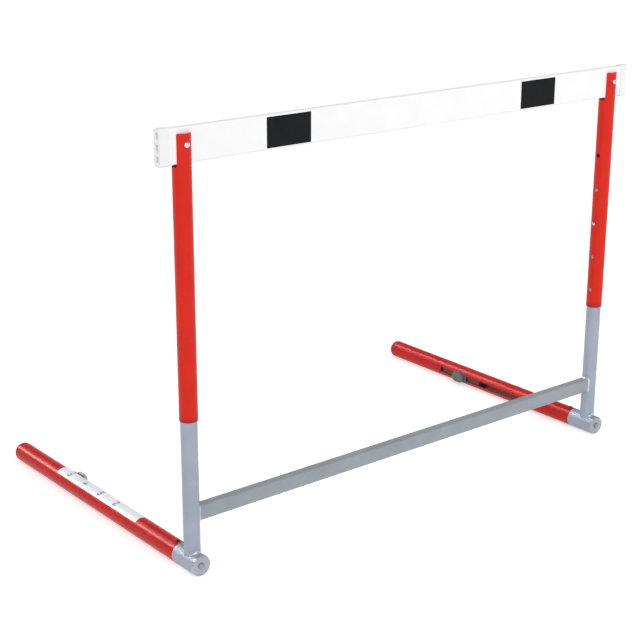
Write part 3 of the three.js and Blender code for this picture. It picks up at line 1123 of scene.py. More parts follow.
@dataclass
class SubAssembly:
    """What the hurdle's sub-assemblies share.

    Attributes:
        palette: The finishes.
        made: The pieces that were built, each with the name of its finish.
    """

    palette: Palette
    made: list[tuple[Object, str]] = field(default_factory=list, init=False)

    def add(self, node: str, bm: BMesh, coat: str, name: str = "") -> None:
        """Makes a piece of a mesh, which rides with a CAD node's body.

        Args:
            node: CAD node, which the piece stands for unless it has a name of its own.
            bm: The piece's mesh, which is used up.
            coat: Name of the piece's finish.
            name: The name of a piece that is there as well as the node.
        """
        mesh = mesh_of(name or f"{node}_finished", bm)
        mesh.shade_smooth()
        mesh.set_sharp_from_angle(angle=SMOOTH_BELOW)
        mesh.normals_split_custom_set(corner_normals(bm, SMOOTH_BELOW))
        bm.free()
        piece = shown(mesh.name, mesh)
        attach(piece, frame["nodes"][node]["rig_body"])
        if not name:
            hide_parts(node)
        self.made.append((piece, coat))

    def dress(self) -> None:
        """Gives every piece its finish, and reports it."""
        for piece, coat in self.made:
            self.palette.coat(piece, coat)
            log.info("%s: %d faces, %s", piece.name, len(piece.data.polygons), coat)


@dataclass
class SidePart(SubAssembly):
    """A sub-assembly that each side of the hurdle has.

    Attributes:
        side: Which side it is on.
    """

    side: Side

    @property
    def inward(self) -> Vector:
        """Direction towards the middle of the hurdle."""
        return Vector((self.side.inward, 0.0, 0.0))

    def span(self, name: str) -> Span:
        """The box of this side's CAD node for a part."""
        return Span.of(self.side.node(name))

    def put(self, name: str, bm: BMesh, coat: str) -> None:
        """Makes the piece that stands for this side's CAD node for a part."""
        self.add(self.side.node(name), bm, coat)

    def outer_place(self, span: Span) -> Vector:
        """Middle of a box's face that looks away from the middle of the hurdle."""
        return Vector(((span.low if self.side is Side.LEFT else span.high).x, *span.middle.yz))


@dataclass
class Foot(SidePart):
    """A foot: base stub, front disc and bolt, slotted red tube and dome. The left one has a scale film."""

    wall: float = 2 * MM
    lip: float = 0.45 * MM
    disc_thickness: float = 4.5 * MM
    disc_bevel: float = 2 * MM
    disc_ring: float = 1.6 * MM
    disc_groove: float = 0.6 * MM
    groove_slope: float = 0.7 * MM
    disc_edge: float = 0.3 * MM
    bolt_head_radius: float = 6.5 * MM
    bolt_head_height: float = 4 * MM
    bolt_head_rim: float = 0.7 * MM
    bolt_radius: float = 3 * MM
    bolt_edge: float = 0.15 * MM
    dome_edge: float = 0.4 * MM
    dome_steps: int = 24
    screw_head_radius: float = 4.5 * MM
    screw_head_height: float = 2.4 * MM
    screw_head_rim: float = 0.5 * MM
    screw_socket: float = 1.6 * MM
    socket_depth: float = 1.3 * MM
    screw_hole: float = 2.8 * MM
    slot_start: float = 180 * MM
    slot_length: float = 290 * MM
    slot_width: float = 13 * MM
    film_start: float = 177 * MM
    film_end: float = 483 * MM
    film_half_width: float = 16 * MM
    film_corner: float = 2.5 * MM
    film_gap: float = 0.02 * MM
    film_thickness: float = 0.15 * MM
    film_strips: int = 16
    marks: tuple[float, ...] = (205 * MM, 265 * MM, 325 * MM, 385 * MM, 445 * MM)
    digit_height: float = 23 * MM
    digit_weight: float = 0.7 * MM
    digit_shift: float = 3 * MM
    digit_thickness: float = 0.08 * MM

    def build(self) -> None:
        """Builds the foot's pieces."""
        tube = self.span("foot_tube")
        self.radius = tube.size.x / 2
        self.bore = self.radius - self.wall
        self.axis = Vector((tube.middle.x, 0.0, tube.middle.z))
        self.post_y = self.span("post").middle.y
        self.put("base_stub", self.open_tube("base_stub"), "stub_paint")
        self.build_disc()
        self.build_front_bolt()
        self.build_tube()
        self.build_dome()
        self.build_screw()
        if self.side is Side.LEFT:
            self.build_film()

    def along_y(self, bm: BMesh) -> BMesh:
        """Turns a shape made about Z onto the foot's axis, with its Z as Y."""
        return moved(bm, self.axis, BACK)

    def open_tube(self, name: str) -> BMesh:
        """A plain tube on the foot's axis, as long as this side's CAD node for a part."""
        span = self.span(name)
        return self.along_y(softened(pipe(self.radius, self.bore, span.low.y, span.high.y), self.lip))

    def build_disc(self) -> None:
        """Builds the disc that closes the stub, with a bevelled rim and a shallow hollow in its middle."""
        span = self.span("front_disc")
        face, back = span.low.y, span.low.y + self.disc_thickness
        rim, sunk = self.radius - self.disc_bevel, face + self.disc_groove
        ring = rim - self.disc_ring
        plug, hole = self.bore - FIT, self.bolt_radius + FIT
        profile = [
            (hole, sunk), (ring - self.groove_slope, sunk), (ring, face), (rim, face),
            (self.radius, face + self.disc_bevel), (self.radius, back), (plug, back), (plug, span.high.y),
            (hole, span.high.y),
        ]
        shell = softened(turned(profile), self.disc_edge, above=math.radians(30))
        self.put("front_disc", self.along_y(shell), "disc_paint")

    def build_front_bolt(self) -> None:
        """Builds the domed bolt in the middle of the disc."""
        span = self.span("front_bolt")
        seat = -span.low.y - self.bolt_head_height
        under = seat - self.disc_groove
        lower = [
            (0.0, -span.high.y), (self.bolt_radius, -span.high.y), (self.bolt_radius, under),
            (self.bolt_head_radius, under),
        ]
        bolt = domed(lower, self.bolt_head_radius, seat + self.bolt_head_rim, -span.low.y)
        self.put("front_bolt", moved(softened(bolt, self.bolt_edge), self.axis, -BACK), "bolt_zinc")

    def slot_cutter(self) -> BMesh:
        """Makes what is cut out of the tube for its slot.

        Returns:
            A long round-ended block that reaches out through the inner side of the tube.
        """
        half = self.slot_width / 2
        cutter = rod(half, 0.0, self.radius + OVERRUN)
        for vert in cutter.verts:
            if vert.co.y > 0.0:
                vert.co.y += self.slot_length - self.slot_width
        return moved(cutter, self.axis + BACK * (self.post_y + self.slot_start + half), self.inward)

    def build_tube(self) -> None:
        """Builds the red tube, with the slot in its inner side and the hole for its screw."""
        screw = self.span("foot_screw").middle
        hole = moved(rod(self.screw_hole, 0.0, self.radius + OVERRUN), (screw.x, screw.y, self.axis.z))
        self.put("foot_tube", carved(self.open_tube("foot_tube"), [self.slot_cutter(), hole]), "foot_coat")

    def build_dome(self) -> None:
        """Builds the domed cap at the rear end."""
        span = self.span("foot_dome")
        seat = self.span("foot_tube").high.y + FIT
        plug = self.bore - FIT
        lower = [
            (0.0, span.low.y), (plug, span.low.y), (plug, seat), (self.radius - self.dome_edge, seat),
            (self.radius, seat + self.dome_edge),
        ]
        rim = seat + 2 * self.dome_edge
        dome = domed(lower, self.radius, rim, span.high.y, self.dome_steps, ROUND_STEPS)
        self.put("foot_dome", self.along_y(dome), "dome_coat")

    def build_screw(self) -> None:
        """Builds the small screw on top of the tube, with a six-sided socket."""
        span = self.span("foot_screw")
        top, seat = span.high.z, span.high.z - self.screw_head_height
        shank = self.screw_hole - FIT
        lower = [(0.0, span.low.z), (shank, span.low.z), (shank, seat), (self.screw_head_radius, seat)]
        screw = domed(lower, self.screw_head_radius, seat + self.screw_head_rim, top)
        socket = rod(self.screw_socket, top - self.socket_depth, top + OVERRUN, 6)
        # The screw's dark finish is painted shade at the foot of the post.
        self.put("foot_screw", moved(carved(screw, [socket]), (*span.middle.xy, 0.0)), "dark_screw")

    def build_film(self) -> None:
        """Builds the film with a scale on top of the tube, and its numbers."""
        node, name = self.side.node("foot_tube"), self.side.node("scale_film")
        self.film_radius = self.radius + self.film_gap
        length = self.film_end - self.film_start
        sheet = patch(2 * self.film_half_width, length, self.film_corner, self.film_strips)
        middle = self.post_y + (self.film_start + self.film_end) / 2
        film = moved(wrapped(sheet, self.film_radius, self.film_thickness), self.axis + BACK * middle)
        finish = ScaleFilm(
            name, "", (246, 250, 254), 0.4, drift=0.02, grain=0.5 * MM, depth=0.004 * MM,
            start=self.post_y + self.marks[0], axis_x=self.axis.x, half_width=self.film_half_width,
            inward=self.side.inward,
        )
        self.add(node, film, self.palette.add(finish), name)
        self.add(node, self.digits(), "scale_ink", self.side.node("scale_numbers"))

    def digits(self) -> BMesh:
        """Raised numbers on the film, one at each mark.

        Returns:
            The numbers, wrapped round the tube.
        """
        whole = bmesh.new()
        turn = Matrix.Rotation(-self.side.inward * math.pi / 2, 3, "Z")
        for number, mark in enumerate(self.marks, start=1):
            text = bpy.data.curves.new("digit", "FONT")
            text.body = str(number)
            text.size, text.offset = self.digit_height, self.digit_weight
            text.align_x = text.align_y = "CENTER"
            thing = shown("digit", text)
            glyph = shape_of(thing)
            bpy.data.objects.remove(thing)
            bpy.data.curves.remove(text)
            bmesh.ops.remove_doubles(glyph, verts=glyph.verts, dist=WELD_DISTANCE)
            bmesh.ops.rotate(glyph, verts=glyph.verts, cent=CENTRE, matrix=turn)
            bmesh.ops.translate(glyph, verts=glyph.verts, vec=-self.inward * self.digit_shift)
            wrapped(glyph, self.film_radius + self.film_thickness, self.digit_thickness)
            joined(whole, moved(glyph, self.axis + BACK * (self.post_y + mark)))
        return whole


@dataclass
class Clamp(SidePart):
    """The sliding weight in a foot, with the shoe over the slot and the long-gripped knob that clamp it."""

    weight_chamfer: float = 2 * MM
    stud_radius: float = 3.3 * MM
    stud_depth: float = 13 * MM
    shoe_length: float = 46 * MM
    shoe_height: float = 24 * MM
    shoe_thickness: float = 2.2 * MM
    shoe_corner: float = 6 * MM
    shoe_gap: float = 0.25 * MM
    shoe_edge: float = 0.5 * MM
    shoe_strips: int = 14
    key_length: float = 22 * MM
    key_depth: float = 2.2 * MM
    key_width: float = 12.4 * MM
    key_corner: float = 4 * MM
    key_sink: float = 0.4 * MM
    grip_length: float = 36 * MM
    grip_height: float = 23 * MM
    grip_corner: float = 11 * MM
    grip_rounding: float = 2 * MM
    hub_radius: float = 8 * MM
    hub_length: float = 1 * MM
    dish_radius: float = 6.5 * MM
    dish_depth: float = 0.8 * MM
    dish_edge: float = 0.4 * MM

    def build(self) -> None:
        """Builds the weight, the shoe and the knob."""
        tube = self.span("foot_tube")
        self.centre = Vector((tube.middle.x, self.span("clamp_knob").middle.y, tube.middle.z))
        self.tube_radius = tube.size.x / 2
        self.build_weight()
        self.build_shoe()
        self.build_knob()

    def build_weight(self) -> None:
        """Builds the turned bar with its blind hole."""
        size = self.span("counterweight").size
        radius, half = size.x / 2, size.y / 2
        weight = softened(rod(radius, -half, half, ROUND_STEPS), self.weight_chamfer, segments=1)
        hole = rod(self.stud_radius, radius - self.stud_depth, radius + OVERRUN)
        weight = carved(moved(weight, self.centre, BACK), [moved(hole, self.centre, self.inward)])
        self.put("counterweight", weight, "weight_iron")

    def build_shoe(self) -> None:
        """Builds the curved plate over the slot, with the key that runs in it."""
        sheet = patch(self.shoe_height, self.shoe_length, self.shoe_corner, self.shoe_strips)
        inside = self.tube_radius + self.shoe_gap
        plate = wrapped(sheet, inside, self.shoe_thickness, self.side.inward * math.pi / 2)
        key = bar((self.key_depth, self.key_length, self.key_width), self.key_corner)
        moved(key, self.inward * (self.tube_radius - self.key_sink))
        joined(softened(plate, self.shoe_edge), key)
        self.put("clamp_shoe", moved(plate, self.centre), "shoe_plastic")

    def build_knob(self) -> None:
        """Builds the knob: a long grip with a rounded rim and a dished face, on a short hub."""
        span = self.span("clamp_knob")
        length = span.size.x
        thickness = length - self.hub_length
        grip = bar((self.grip_height, self.grip_length, thickness), self.grip_corner, axis=2, segments=16)
        moved(softened(grip, self.grip_rounding, 5), UP * (length - thickness / 2))
        dish = rod(self.dish_radius, length - self.dish_depth, length + OVERRUN, ROUND_STEPS)
        knob = softened(carved(grip, [dish]), self.dish_edge, 3, SHARP)
        joined(knob, rod(self.hub_radius, 0.0, self.hub_length + self.grip_rounding))
        place = (self.outer_place(span).x, self.centre.y, self.centre.z)
        # Each knob takes its side's copy of the zinc: painted light on the left, painted shade on the
        # right.
        self.put("clamp_knob", moved(knob, place, self.inward), self.side.node("grip_zinc"))


@dataclass
class Upright(SidePart):
    """One upright: the welded post, the snap button and the red tube that slides on the post."""

    post_wall: float = 1.6 * MM
    tube_wall: float = 1.2 * MM
    lip: float = 0.4 * MM
    hole_radius: float = 4.2 * MM
    hole_step: float = 76.2 * MM
    hole_count: int = 5
    hole_above_bottom: float = 40 * MM
    notch_drop: float = 5.5 * MM
    notch_fillet: float = 5 * MM
    fillet_steps: int = 10
    notch_gap: float = 0.3 * MM
    tongue_corner: float = 3 * MM
    bolt_hole: float = 3.3 * MM
    cut_edge: float = 0.25 * MM
    weld_steps: int = 240
    post_leg: float = 6 * MM
    post_ripples: int = 46
    brace_leg: float = 3.2 * MM
    brace_ripples: int = 34
    brace_step: float = 0.6 * MM
    weld_hollow: float = 0.9 * MM
    weld_overlap: float = 0.6 * MM
    brace_corner: float = 3 * MM
    button_radius: float = 3.9 * MM
    button_flange: float = 5.2 * MM
    button_flange_thickness: float = 1.2 * MM
    button_stand_out: float = 2.6 * MM
    button_steps: int = 12

    def build(self) -> None:
        """Builds the upright's pieces."""
        self.post = self.span("post")
        self.centre = Vector((*self.post.middle.xy, 0.0))
        self.radius = self.post.size.y / 2
        stub = self.span("base_stub")
        self.foot_radius, self.foot_axis = stub.size.x / 2, stub.middle.z
        self.build_post()
        self.build_post_weld()
        self.build_brace_weld()
        self.build_tube()
        self.build_button()

    def build_post(self) -> None:
        """Builds the post, coped at its foot and drilled for the button."""
        shell = pipe(self.radius, self.radius - self.post_wall, self.foot_axis, self.post.high.z)
        for vert in shell.verts:
            if vert.co.z < self.foot_axis + NEAR:
                vert.co.z = self.foot_axis + surface_at(self.foot_radius, vert.co.x)
        softened(shell, self.lip, above=SHARP)
        button = self.span("snap_button").middle
        hole = moved(rod(self.hole_radius, 0.0, self.radius + OVERRUN), UP * button.z, self.inward)
        self.put("post", moved(carved(shell, [hole]), self.centre), "silver_paint")

    def build_post_weld(self) -> None:
        """Builds the weld where the post meets the foot."""
        stations = []
        ring = self.foot_radius - self.weld_overlap
        for i in range(self.weld_steps):
            angle = i / self.weld_steps * math.tau
            out = Vector((math.cos(angle), math.sin(angle), 0.0))
            swell = 1.0 + 0.1 * math.sin(3 * angle + 0.6) + 0.06 * math.sin(7 * angle)
            leg = self.post_leg * swell * (1.0 - 0.3 * abs(out.x))
            inner = out * (self.radius - self.weld_overlap)
            floor = self.foot_axis + surface_at(self.foot_radius, inner.x)
            tilt = math.asin(inner.x / self.foot_radius)
            reach = tilt + out.x * leg / self.foot_radius
            low_z = self.foot_axis + ring * math.cos(reach)
            lower = Vector((ring * math.sin(reach), inner.y + out.y * leg, low_z))
            root, upper = inner + UP * (floor - self.weld_overlap), inner + UP * (floor + leg)
            away = (out + Vector((math.sin(tilt), 0.0, math.cos(tilt)))).normalized()
            stations.append(Station(self.centre + root, self.centre + upper, self.centre + lower, away))
        self.put("post_weld", fillet_weld(stations, self.weld_hollow, self.post_ripples), "weld_paint")

    def brace_outline(self, size: Vector) -> list[Vector]:
        """Points round the brace's outline, closely spaced.

        Args:
            size: The brace's lengths along X, Y and Z.

        Returns:
            The points, in order round the X axis.
        """
        outline = bar((1.0, size.y, size.z), self.brace_corner, segments=8)
        corners = [Vector((0.0, *vert.co.yz)) for vert in outline.verts if vert.co.x > 0.0]
        outline.free()
        corners.sort(key=lambda co: math.atan2(co.z / size.z, co.y / size.y))
        points = []
        for before, corner in zip(corners[-1:] + corners[:-1], corners):
            gap = corner - before
            pieces = max(1, round(gap.length / self.brace_step))
            points += [before + gap * (step / pieces) for step in range(pieces)]
        return points

    def build_brace_weld(self) -> None:
        """Builds the weld where the brace meets the post."""
        brace = Span.of("cross_brace")
        loop = self.brace_outline(brace.size)
        middle = self.centre + UP * brace.middle.z
        stations = []
        for i, flat in enumerate(loop):
            along = loop[(i + 1) % len(loop)] - loop[i - 1]
            out = Vector((0.0, along.z, -along.y)).normalized()
            leg = self.brace_leg * (1.0 + 0.12 * math.sin(5 * i / len(loop) * math.tau))
            edge, inner = flat + out * leg, flat - out * (self.weld_overlap / 2)
            at_edge, at_inner = surface_at(self.radius, edge.y), surface_at(self.radius, inner.y)
            stations.append(
                Station(
                    middle + inner + self.inward * (at_inner - self.weld_overlap),
                    middle + inner + self.inward * (at_inner + leg),
                    middle + edge + self.inward * (at_edge - self.weld_overlap),
                    (out + self.inward).normalized(),
                )
            )
        weld = fillet_weld(stations, self.weld_hollow / 2, self.brace_ripples)
        self.put("brace_weld", weld, "weld_paint")

    def build_tube(self) -> None:
        """Builds the sliding tube: five holes, and a tongue in front of the notch for the crossbar."""
        span, board = self.span("upper_tube"), Span.of("crossbar_board")
        radius = span.size.y / 2
        reach = radius + OVERRUN
        shell = softened(pipe(radius, radius - self.tube_wall, span.low.z, span.high.z), self.lip)
        front = board.low.y - self.centre.y - self.notch_gap
        cutters = [
            self.notch_cutter(front, board.low.z - self.notch_drop, span.high.z, reach),
            self.corner_cutter(surface_at(radius, front), span.high.z, reach),
        ]
        for i in range(self.hole_count):
            height = span.low.z + self.hole_above_bottom + i * self.hole_step
            cutters.append(moved(rod(self.hole_radius, 0.0, reach), UP * height, self.inward))
        bolt = self.span("board_bolt").middle
        cutters.append(moved(rod(self.bolt_hole, 0.0, reach), UP * bolt.z, -BACK))
        tube = softened(carved(shell, cutters), self.cut_edge, 2, math.radians(50))
        self.put("upper_tube", moved(tube, self.centre), "upright_coat")

    def notch_cutter(self, front: float, floor: float, top: float, reach: float) -> BMesh:
        """A block in the shape of the notch, with a fillet along its lower front edge.

        Args:
            front: Place of the notch's front face along Y.
            floor: Height of the notch's floor.
            top: Height that the block passes.
            reach: How far the block reaches to the sides and back.

        Returns:
            The block.
        """
        size = Vector((2 * reach, reach - front, top + OVERRUN - floor))
        bm = block(size, (0.0, front + size.y / 2, floor + size.z / 2))
        near = {v for v in bm.verts if v.co.y < front + NEAR and v.co.z < floor + NEAR}
        inner_edge = [edge for edge in bm.edges if near.issuperset(edge.verts)]
        return tidied(bevelled(bm, inner_edge, self.notch_fillet, self.fillet_steps))

    def corner_cutter(self, half_width: float, top: float, reach: float) -> BMesh:
        """What lies round the tongue's top: a block less a plate with two rounded corners.

        Args:
            half_width: Half of the tongue's width.
            top: Height of the tongue's top.
            reach: How far the block reaches to the sides.

        Returns:
            The cutter.
        """
        size = (2 * reach, 2 * reach, 2 * self.tongue_corner + OVERRUN)
        depth = 8 * self.tongue_corner
        plate = bar((2 * half_width, 3 * reach, depth), self.tongue_corner, axis=1, segments=8)
        whole = block(size, UP * (top - self.tongue_corner + OVERRUN / 2))
        return carved(whole, [moved(plate, UP * (top - depth / 2))])

    def build_button(self) -> None:
        """Builds the snap button, with its flange inside the post and a domed end."""
        span = self.span("snap_button")
        length, flange = span.size.x, self.button_flange_thickness
        wide = self.button_flange
        lower = [(0.0, 0.0), (wide, 0.0), (wide, flange), (self.button_radius, flange)]
        rim = length - self.button_stand_out
        button = domed(lower, self.button_radius, rim, length, self.button_steps)
        self.put("snap_button", moved(button, self.outer_place(span), self.inward), "zinc")


@dataclass
class Brace(SubAssembly):
    """The rectangular tube between the posts."""

    corner: float = 3 * MM
    end_gap: float = 0.1 * MM
    strips: int = 12

    def build(self) -> None:
        """Builds the tube, with both ends shaped to the posts."""
        span = Span.of("cross_brace")
        posts = [Span.of(side.node("post")) for side in Side]
        radius = posts[0].size.y / 2
        shell = striped(bar(span.size, self.corner, segments=8), 1, span.size.y, self.strips)
        for vert in shell.verts:
            end = 1.0 if vert.co.x > 0.0 else -1.0
            post_x = max(post.middle.x * end for post in posts)
            vert.co.x = end * (post_x - surface_at(radius, vert.co.y) - self.end_gap)
        self.add("cross_brace", moved(shell, span.middle), "brace_paint")


@dataclass
class Crossbar(SubAssembly):
    """The crossbar: a hollow board with end caps, bands and the bolts that hold it."""

    corner: float = 3 * MM
    wall: float = 2 * MM
    web: float = 1.6 * MM
    cell_corner: float = 1 * MM
    cells: int = 3
    bolt_hole: float = 3.3 * MM
    cap_gap: float = 0.3 * MM
    cap_wall: float = 1.2 * MM
    cap_plate: float = 4 * MM
    cap_edge: float = 0.6 * MM
    recess_size: Point = (8 * MM, 11 * MM)
    recess_corner: float = 2 * MM
    recess_depth: float = 3.2 * MM
    recess_edge: float = 0.25 * MM
    # dirt_spread: how far the painted shade in the cap recesses reaches past a recess.
    dirt_spread: float = 0.4 * MM
    film_gap: float = 0.03 * MM
    film_thickness: float = 0.3 * MM
    film_corner: float = 1 * MM
    film_edge: float = 0.1 * MM
    head_radius: float = 5.6 * MM
    head_height: float = 3.6 * MM
    head_rim: float = 0.6 * MM
    bolt_radius: float = 3 * MM
    bolt_tip: float = 0.5 * MM
    bolt_edge: float = 0.15 * MM
    washer_edge: float = 0.3 * MM
    nut_across: float = 10 * MM
    nut_edge: float = 0.35 * MM
    collar_height: float = 1.4 * MM
    collar_inset: float = 0.3 * MM
    collar_chamfer: float = 0.6 * MM
    collar_sink: float = 1 * MM
    thread_gap: float = 0.1 * MM

    def build(self) -> None:
        """Builds the crossbar's pieces."""
        self.span = Span.of("crossbar_board")
        pitch = (self.span.size.z - 2 * self.wall + self.web) / self.cells
        self.cell_height = pitch - self.web
        self.cell_places = [(i - (self.cells - 1) / 2) * pitch for i in range(self.cells)]
        self.build_board()
        for side in Side:
            self.build_cap(side)
            self.build_band(side)
            self.build_fastening(side)

    def build_board(self) -> None:
        """Builds the hollow board."""
        size = self.span.size
        inside = (size.x + OVERRUN, size.y - 2 * self.wall, self.cell_height)
        cutters = [moved(bar(inside, self.cell_corner, segments=3), UP * z) for z in self.cell_places]
        for side in Side:
            x = Span.of(side.node("board_bolt")).middle.x - self.span.middle.x
            cutters.append(moved(rod(self.bolt_hole, 0.0, 2 * size.y), (x, -size.y, 0.0), BACK))
        board = moved(carved(bar(size, self.corner), cutters), self.span.middle)
        self.add("crossbar_board", board, "board_plastic")

    def build_cap(self, side: Side) -> None:
        """Builds an end cap: a sleeve closed by a plate, with a recess over each of the board's cells.

        Args:
            side: Which end.
        """
        span, board = Span.of(side.node("end_cap")), self.span.size
        body = softened(bar(span.size, self.corner + self.cap_wall), self.cap_edge, 3)
        inside = bar((span.size.x, board.y + 2 * self.cap_gap, board.z + 2 * self.cap_gap), self.corner)
        cutters = [moved(inside, (side.inward * self.cap_plate, 0.0, 0.0))]
        for z in self.cell_places:
            recess = bar((2 * self.recess_depth, *self.recess_size), self.recess_corner, segments=4)
            cutters.append(moved(recess, (-side.inward * span.size.x / 2, 0.0, z)))
        cap = softened(carved(body, cutters), self.recess_edge, 2, SHARP)
        # The cap's finish paints shade into its recesses.
        finish = CapPlastic(
            "cap_plastic", "white_plastic", (243, 244, 246), 0.45, drift=0.012, grain=0.6 * MM,
            depth=0.01 * MM, end_x=abs(span.middle.x) + span.size.x / 2, middle_y=span.middle.y,
            half_depth=self.recess_size[0] / 2 + self.dirt_spread,
        )
        self.add(side.node("end_cap"), moved(cap, span.middle), self.palette.add(finish))

    def build_band(self, side: Side) -> None:
        """Builds a band of film on the front of the board.

        Args:
            side: Which band.
        """
        span = Span.of(side.node("band"))
        film = bar((span.size.x, self.film_thickness, span.size.z), self.film_corner, axis=1, segments=4)
        front = self.span.low.y - self.film_gap - self.film_thickness / 2
        place = (span.middle.x, front, span.middle.z)
        self.add(side.node("band"), moved(softened(film, self.film_edge), place), "band_film")

    def build_fastening(self, side: Side) -> None:
        """Builds the bolt, washer and nut that hold the board to a tongue.

        Args:
            side: Which end.
        """
        bolt, washer, nut = (Span.of(side.node(f"board_{name}")) for name in ("bolt", "washer", "nut"))
        tip, seat = -bolt.high.y, -bolt.low.y - self.head_height
        lower = [
            (0.0, tip), (self.bolt_radius - self.bolt_tip, tip), (self.bolt_radius, tip + self.bolt_tip),
            (self.bolt_radius, seat), (self.head_radius, seat),
        ]
        shape = softened(domed(lower, self.head_radius, seat + self.head_rim, -bolt.low.y), self.bolt_edge)
        disc = pipe(washer.size.x / 2, self.bolt_radius + FIT, washer.low.y, washer.high.y)
        place = (bolt.middle.x, 0.0, bolt.middle.z)
        self.add(side.node("board_bolt"), moved(shape, place, -BACK), "zinc")
        self.add(side.node("board_washer"), moved(softened(disc, self.washer_edge), place, BACK), "zinc")
        self.add(side.node("board_nut"), moved(self.nut_shape(nut.low.y, nut.high.y), place, BACK), "zinc")

    def nut_shape(self, start: float, end: float) -> BMesh:
        """A six-sided nut with chamfered corners and a round collar for its locking ring.

        Args:
            start: Where the nut begins along its axis.
            end: Where it ends.

        Returns:
            The nut.
        """
        body_end = end - self.collar_height
        hexagon = rod(self.nut_across / 2 / math.cos(math.pi / 6), start, body_end, 6)
        radius, bore = self.nut_across / 2 - self.collar_inset, self.bolt_radius + self.thread_gap
        foot, bend = body_end - self.collar_sink, self.collar_chamfer
        profile = [(bore, foot), (radius, foot), (radius, end - bend), (radius - bend, end), (bore, end)]
        return joined(softened(hexagon, self.nut_edge), turned(profile, SMALL_STEPS))


# Stage


@dataclass(frozen=True)
class Lamp:
    """A soft box.

    Attributes:
        name: The lamp's name.
        place: Where it hangs, in metres.
        aim: The point that it faces.
        size: Its length and width.
        power: Its power, in watts.
        along: The direction that its length follows.
        spread: Angle of its beam, in degrees.
        gloss_only: True where it is there for the highlights and lights nothing else.
    """

    name: str
    place: Place
    aim: Place
    size: Point
    power: float
    along: Place = (1.0, 0.0, 0.0)
    spread: float = 180.0
    gloss_only: bool = False


LAMPS = (
    Lamp("key_softbox", (-2.4, -3.2, 2.9), (0.0, -0.1, 0.4), (2.2, 1.6), 48.5),
    Lamp("fill_softbox", (0.9, -3.3, 1.7), (0.6, -0.2, 0.45), (1.2, 1.0), 1.7, spread=50),
    Lamp(
        "left_strip", (-1.68, 2.36, 1.51), (-0.56, 0.0, 0.036), (1.15, 0.8), 2.2, (0.48, 0.62, -0.63),
        spread=34, gloss_only=True,
    ),
    Lamp(
        "right_strip", (-0.3, 1.95, 2.16), (0.54, 0.0, 0.036), (1.25, 1.7), 3.6, (0.24, 0.76, -0.61),
        spread=34, gloss_only=True,
    ),
)


def standing(thing: Object, place: Place, right: Vector, rise: Vector, back: Vector) -> Object:
    """Stands an object at a place, with its X, Y and Z axes along three directions."""
    thing.matrix_world = Matrix.Translation(place) @ Matrix((right, rise, back)).transposed().to_4x4()
    return thing


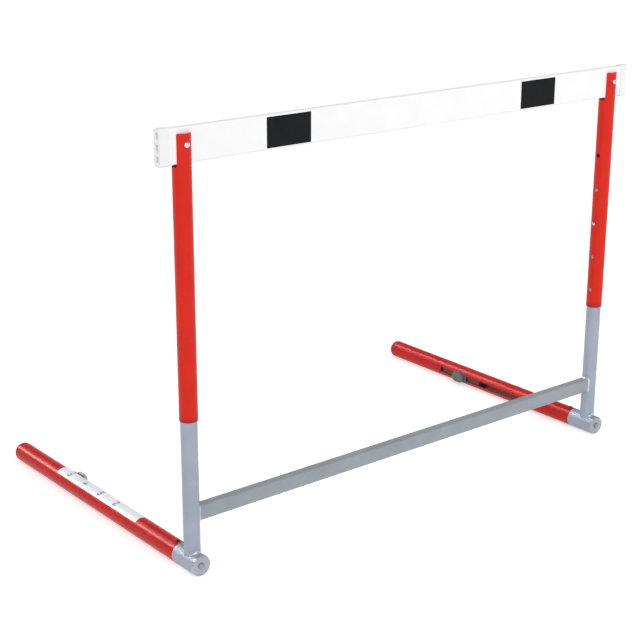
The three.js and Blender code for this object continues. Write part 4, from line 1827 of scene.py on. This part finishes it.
@dataclass
class Studio:
    """Camera, lamps, world and floor.

    Attributes:
        eye: Where the camera stands, in metres.
        heading: The camera's turn from +Y towards +X, in degrees.
        pitch: The camera's angle above the horizon, in degrees.
        roll: The camera's turn about its own axis, in degrees.
        lens: Focal length in millimetres.
        sensor: Width of the frame in millimetres.
        clip: Nearest and farthest distance that the camera sees.
        floor_size: Length of the floor's sides.
        floor_tone: How pale the floor is.
        floor_glow: Light that the floor shows of its own, so that it turns white where no shadow falls.
        world_light: Lower height, upper height, and the strength at each, of the light from around.
        world_gloss: The same of what the gloss mirrors.
    """

    eye: Place = (-1.909802, -2.377935, 1.300718)
    heading: float = 38.955
    pitch: float = -18.187
    roll: float = 0.14
    lens: float = 82.454
    sensor: float = 36.0
    clip: Point = (0.05, 200.0)
    floor_size: float = 60.0
    floor_tone: float = 0.82
    floor_glow: float = 0.5
    world_light: Levels = (0.0, 0.9, 1.02, 0.55)
    world_gloss: Levels = (0.08, 0.45, 0.8, 0.3)

    def build(self) -> None:
        """Sets up the whole stage."""
        self.build_camera()
        self.build_world()
        self.build_floor()
        for lamp in LAMPS:
            self.build_lamp(lamp)
        bpy.context.scene.view_settings.view_transform = "Standard"

    def build_camera(self) -> None:
        """Makes the camera at the photograph's viewpoint."""
        turn, tilt, roll = (math.radians(angle) for angle in (self.heading, self.pitch, self.roll))
        forward = Vector((math.sin(turn) * math.cos(tilt), math.cos(turn) * math.cos(tilt), math.sin(tilt)))
        level = Vector((math.cos(turn), -math.sin(turn), 0.0))
        right = level * math.cos(roll) + level.cross(forward) * math.sin(roll)
        data = bpy.data.cameras.new("camera")
        data.lens, data.sensor_width = self.lens, self.sensor
        data.clip_start, data.clip_end = self.clip
        camera = standing(shown("camera", data), self.eye, right, right.cross(forward), -forward)
        bpy.context.scene.camera = camera

    def build_lamp(self, lamp: Lamp) -> None:
        """Makes a soft box.

        Args:
            lamp: What it is like and where it hangs.
        """
        data = bpy.data.lights.new(lamp.name, "AREA")
        data.shape = "RECTANGLE"
        data.size, data.size_y = lamp.size
        data.energy = lamp.power
        data.spread = math.radians(lamp.spread)
        back = (Vector(lamp.place) - Vector(lamp.aim)).normalized()
        rise = back.cross(Vector(lamp.along)).normalized()
        thing = standing(shown(lamp.name, data), lamp.place, rise.cross(back), rise, back)
        thing.visible_diffuse = not lamp.gloss_only

    def background(self, graph: Graph, strength: object) -> NodeSocket:
        """A white background of some strength."""
        return graph.node("Background", {"Color": WHITE, "Strength": strength}).outputs["Background"]

    def build_world(self) -> None:
        """Makes a white surrounding, whose light and reflections grow dimmer towards the ceiling."""
        world = bpy.data.worlds.new("studio")
        bpy.context.scene.world = world
        world.use_nodes = True
        graph = Graph(world.node_tree)
        direction = graph.node("TexCoord").outputs["Generated"]
        height = graph.node("SeparateXYZ", {"Vector": direction}).outputs["Z"]
        path = graph.node("LightPath").outputs
        strengths = [graph.fade(height, *levels) for levels in (self.world_light, self.world_gloss)]
        lit, mirrored = [self.background(graph, strength) for strength in strengths]
        around = graph.node("MixShader", {"Fac": path["Is Glossy Ray"], 1: lit, 2: mirrored})
        seen = graph.math("MAXIMUM", path["Is Camera Ray"], path["Is Transmission Ray"])
        white = self.background(graph, 1.0)
        mix = graph.node("MixShader", {"Fac": seen, 1: around.outputs["Shader"], 2: white})
        graph.node("OutputWorld", {"Surface": mix.outputs["Shader"]})

    def build_floor(self) -> None:
        """Makes a pale floor that turns white where no shadow falls."""
        bm = bmesh.new()
        bmesh.ops.create_grid(bm, x_segments=1, y_segments=1, size=self.floor_size / 2)
        floor = shown("floor", mesh_of("floor", bm))
        bm.free()
        material = bpy.data.materials.new("floor")
        material.use_nodes = True
        graph = Graph(material.node_tree)
        path = graph.node("LightPath").outputs
        seen = graph.math("MAXIMUM", path["Is Camera Ray"], path["Is Glossy Ray"])
        seen = graph.math("MAXIMUM", seen, path["Is Transmission Ray"])
        tone, light = [(*[level] * 3, 1.0) for level in (self.floor_tone, self.floor_glow)]
        diffuse = graph.node("BsdfDiffuse", {"Color": tone}).outputs["BSDF"]
        glow = graph.node("Emission", {"Color": light, "Strength": seen}).outputs["Emission"]
        both = graph.node("AddShader", {0: diffuse, 1: glow})
        graph.node("OutputMaterial", {"Surface": both.outputs["Shader"]})
        floor.data.materials.append(material)
        floor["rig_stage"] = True


def dress_carried_nodes(palette: Palette) -> None:
    """Gives the CAD nodes that stay in view their finishes.

    Args:
        palette: The finishes.
    """
    for side in Side:
        for name, coat in CARRIED_FINISHES.items():
            palette.coat(frame["nodes"][side.node(name)], coat)
            log.info("%s: carried over, %s", side.node(name), coat)


def corners() -> list[list[float]]:
    """Lowest and highest corner of what is shown, as plain lists."""
    return [list(corner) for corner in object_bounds()]


def main() -> None:
    """Builds the stage and the hurdle's looks."""
    logging.basicConfig(level=logging.INFO, format="%(message)s")
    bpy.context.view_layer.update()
    Studio().build()
    palette = Palette()
    assemblies: list[SubAssembly] = []
    for side in Side:
        assemblies += [Foot(palette, side), Clamp(palette, side), Upright(palette, side)]
    assemblies += [Brace(palette), Crossbar(palette)]
    for assembly in assemblies:
        assembly.build()
        assembly.dress()
    dress_carried_nodes(palette)


if __name__ == "__main__":
    main()
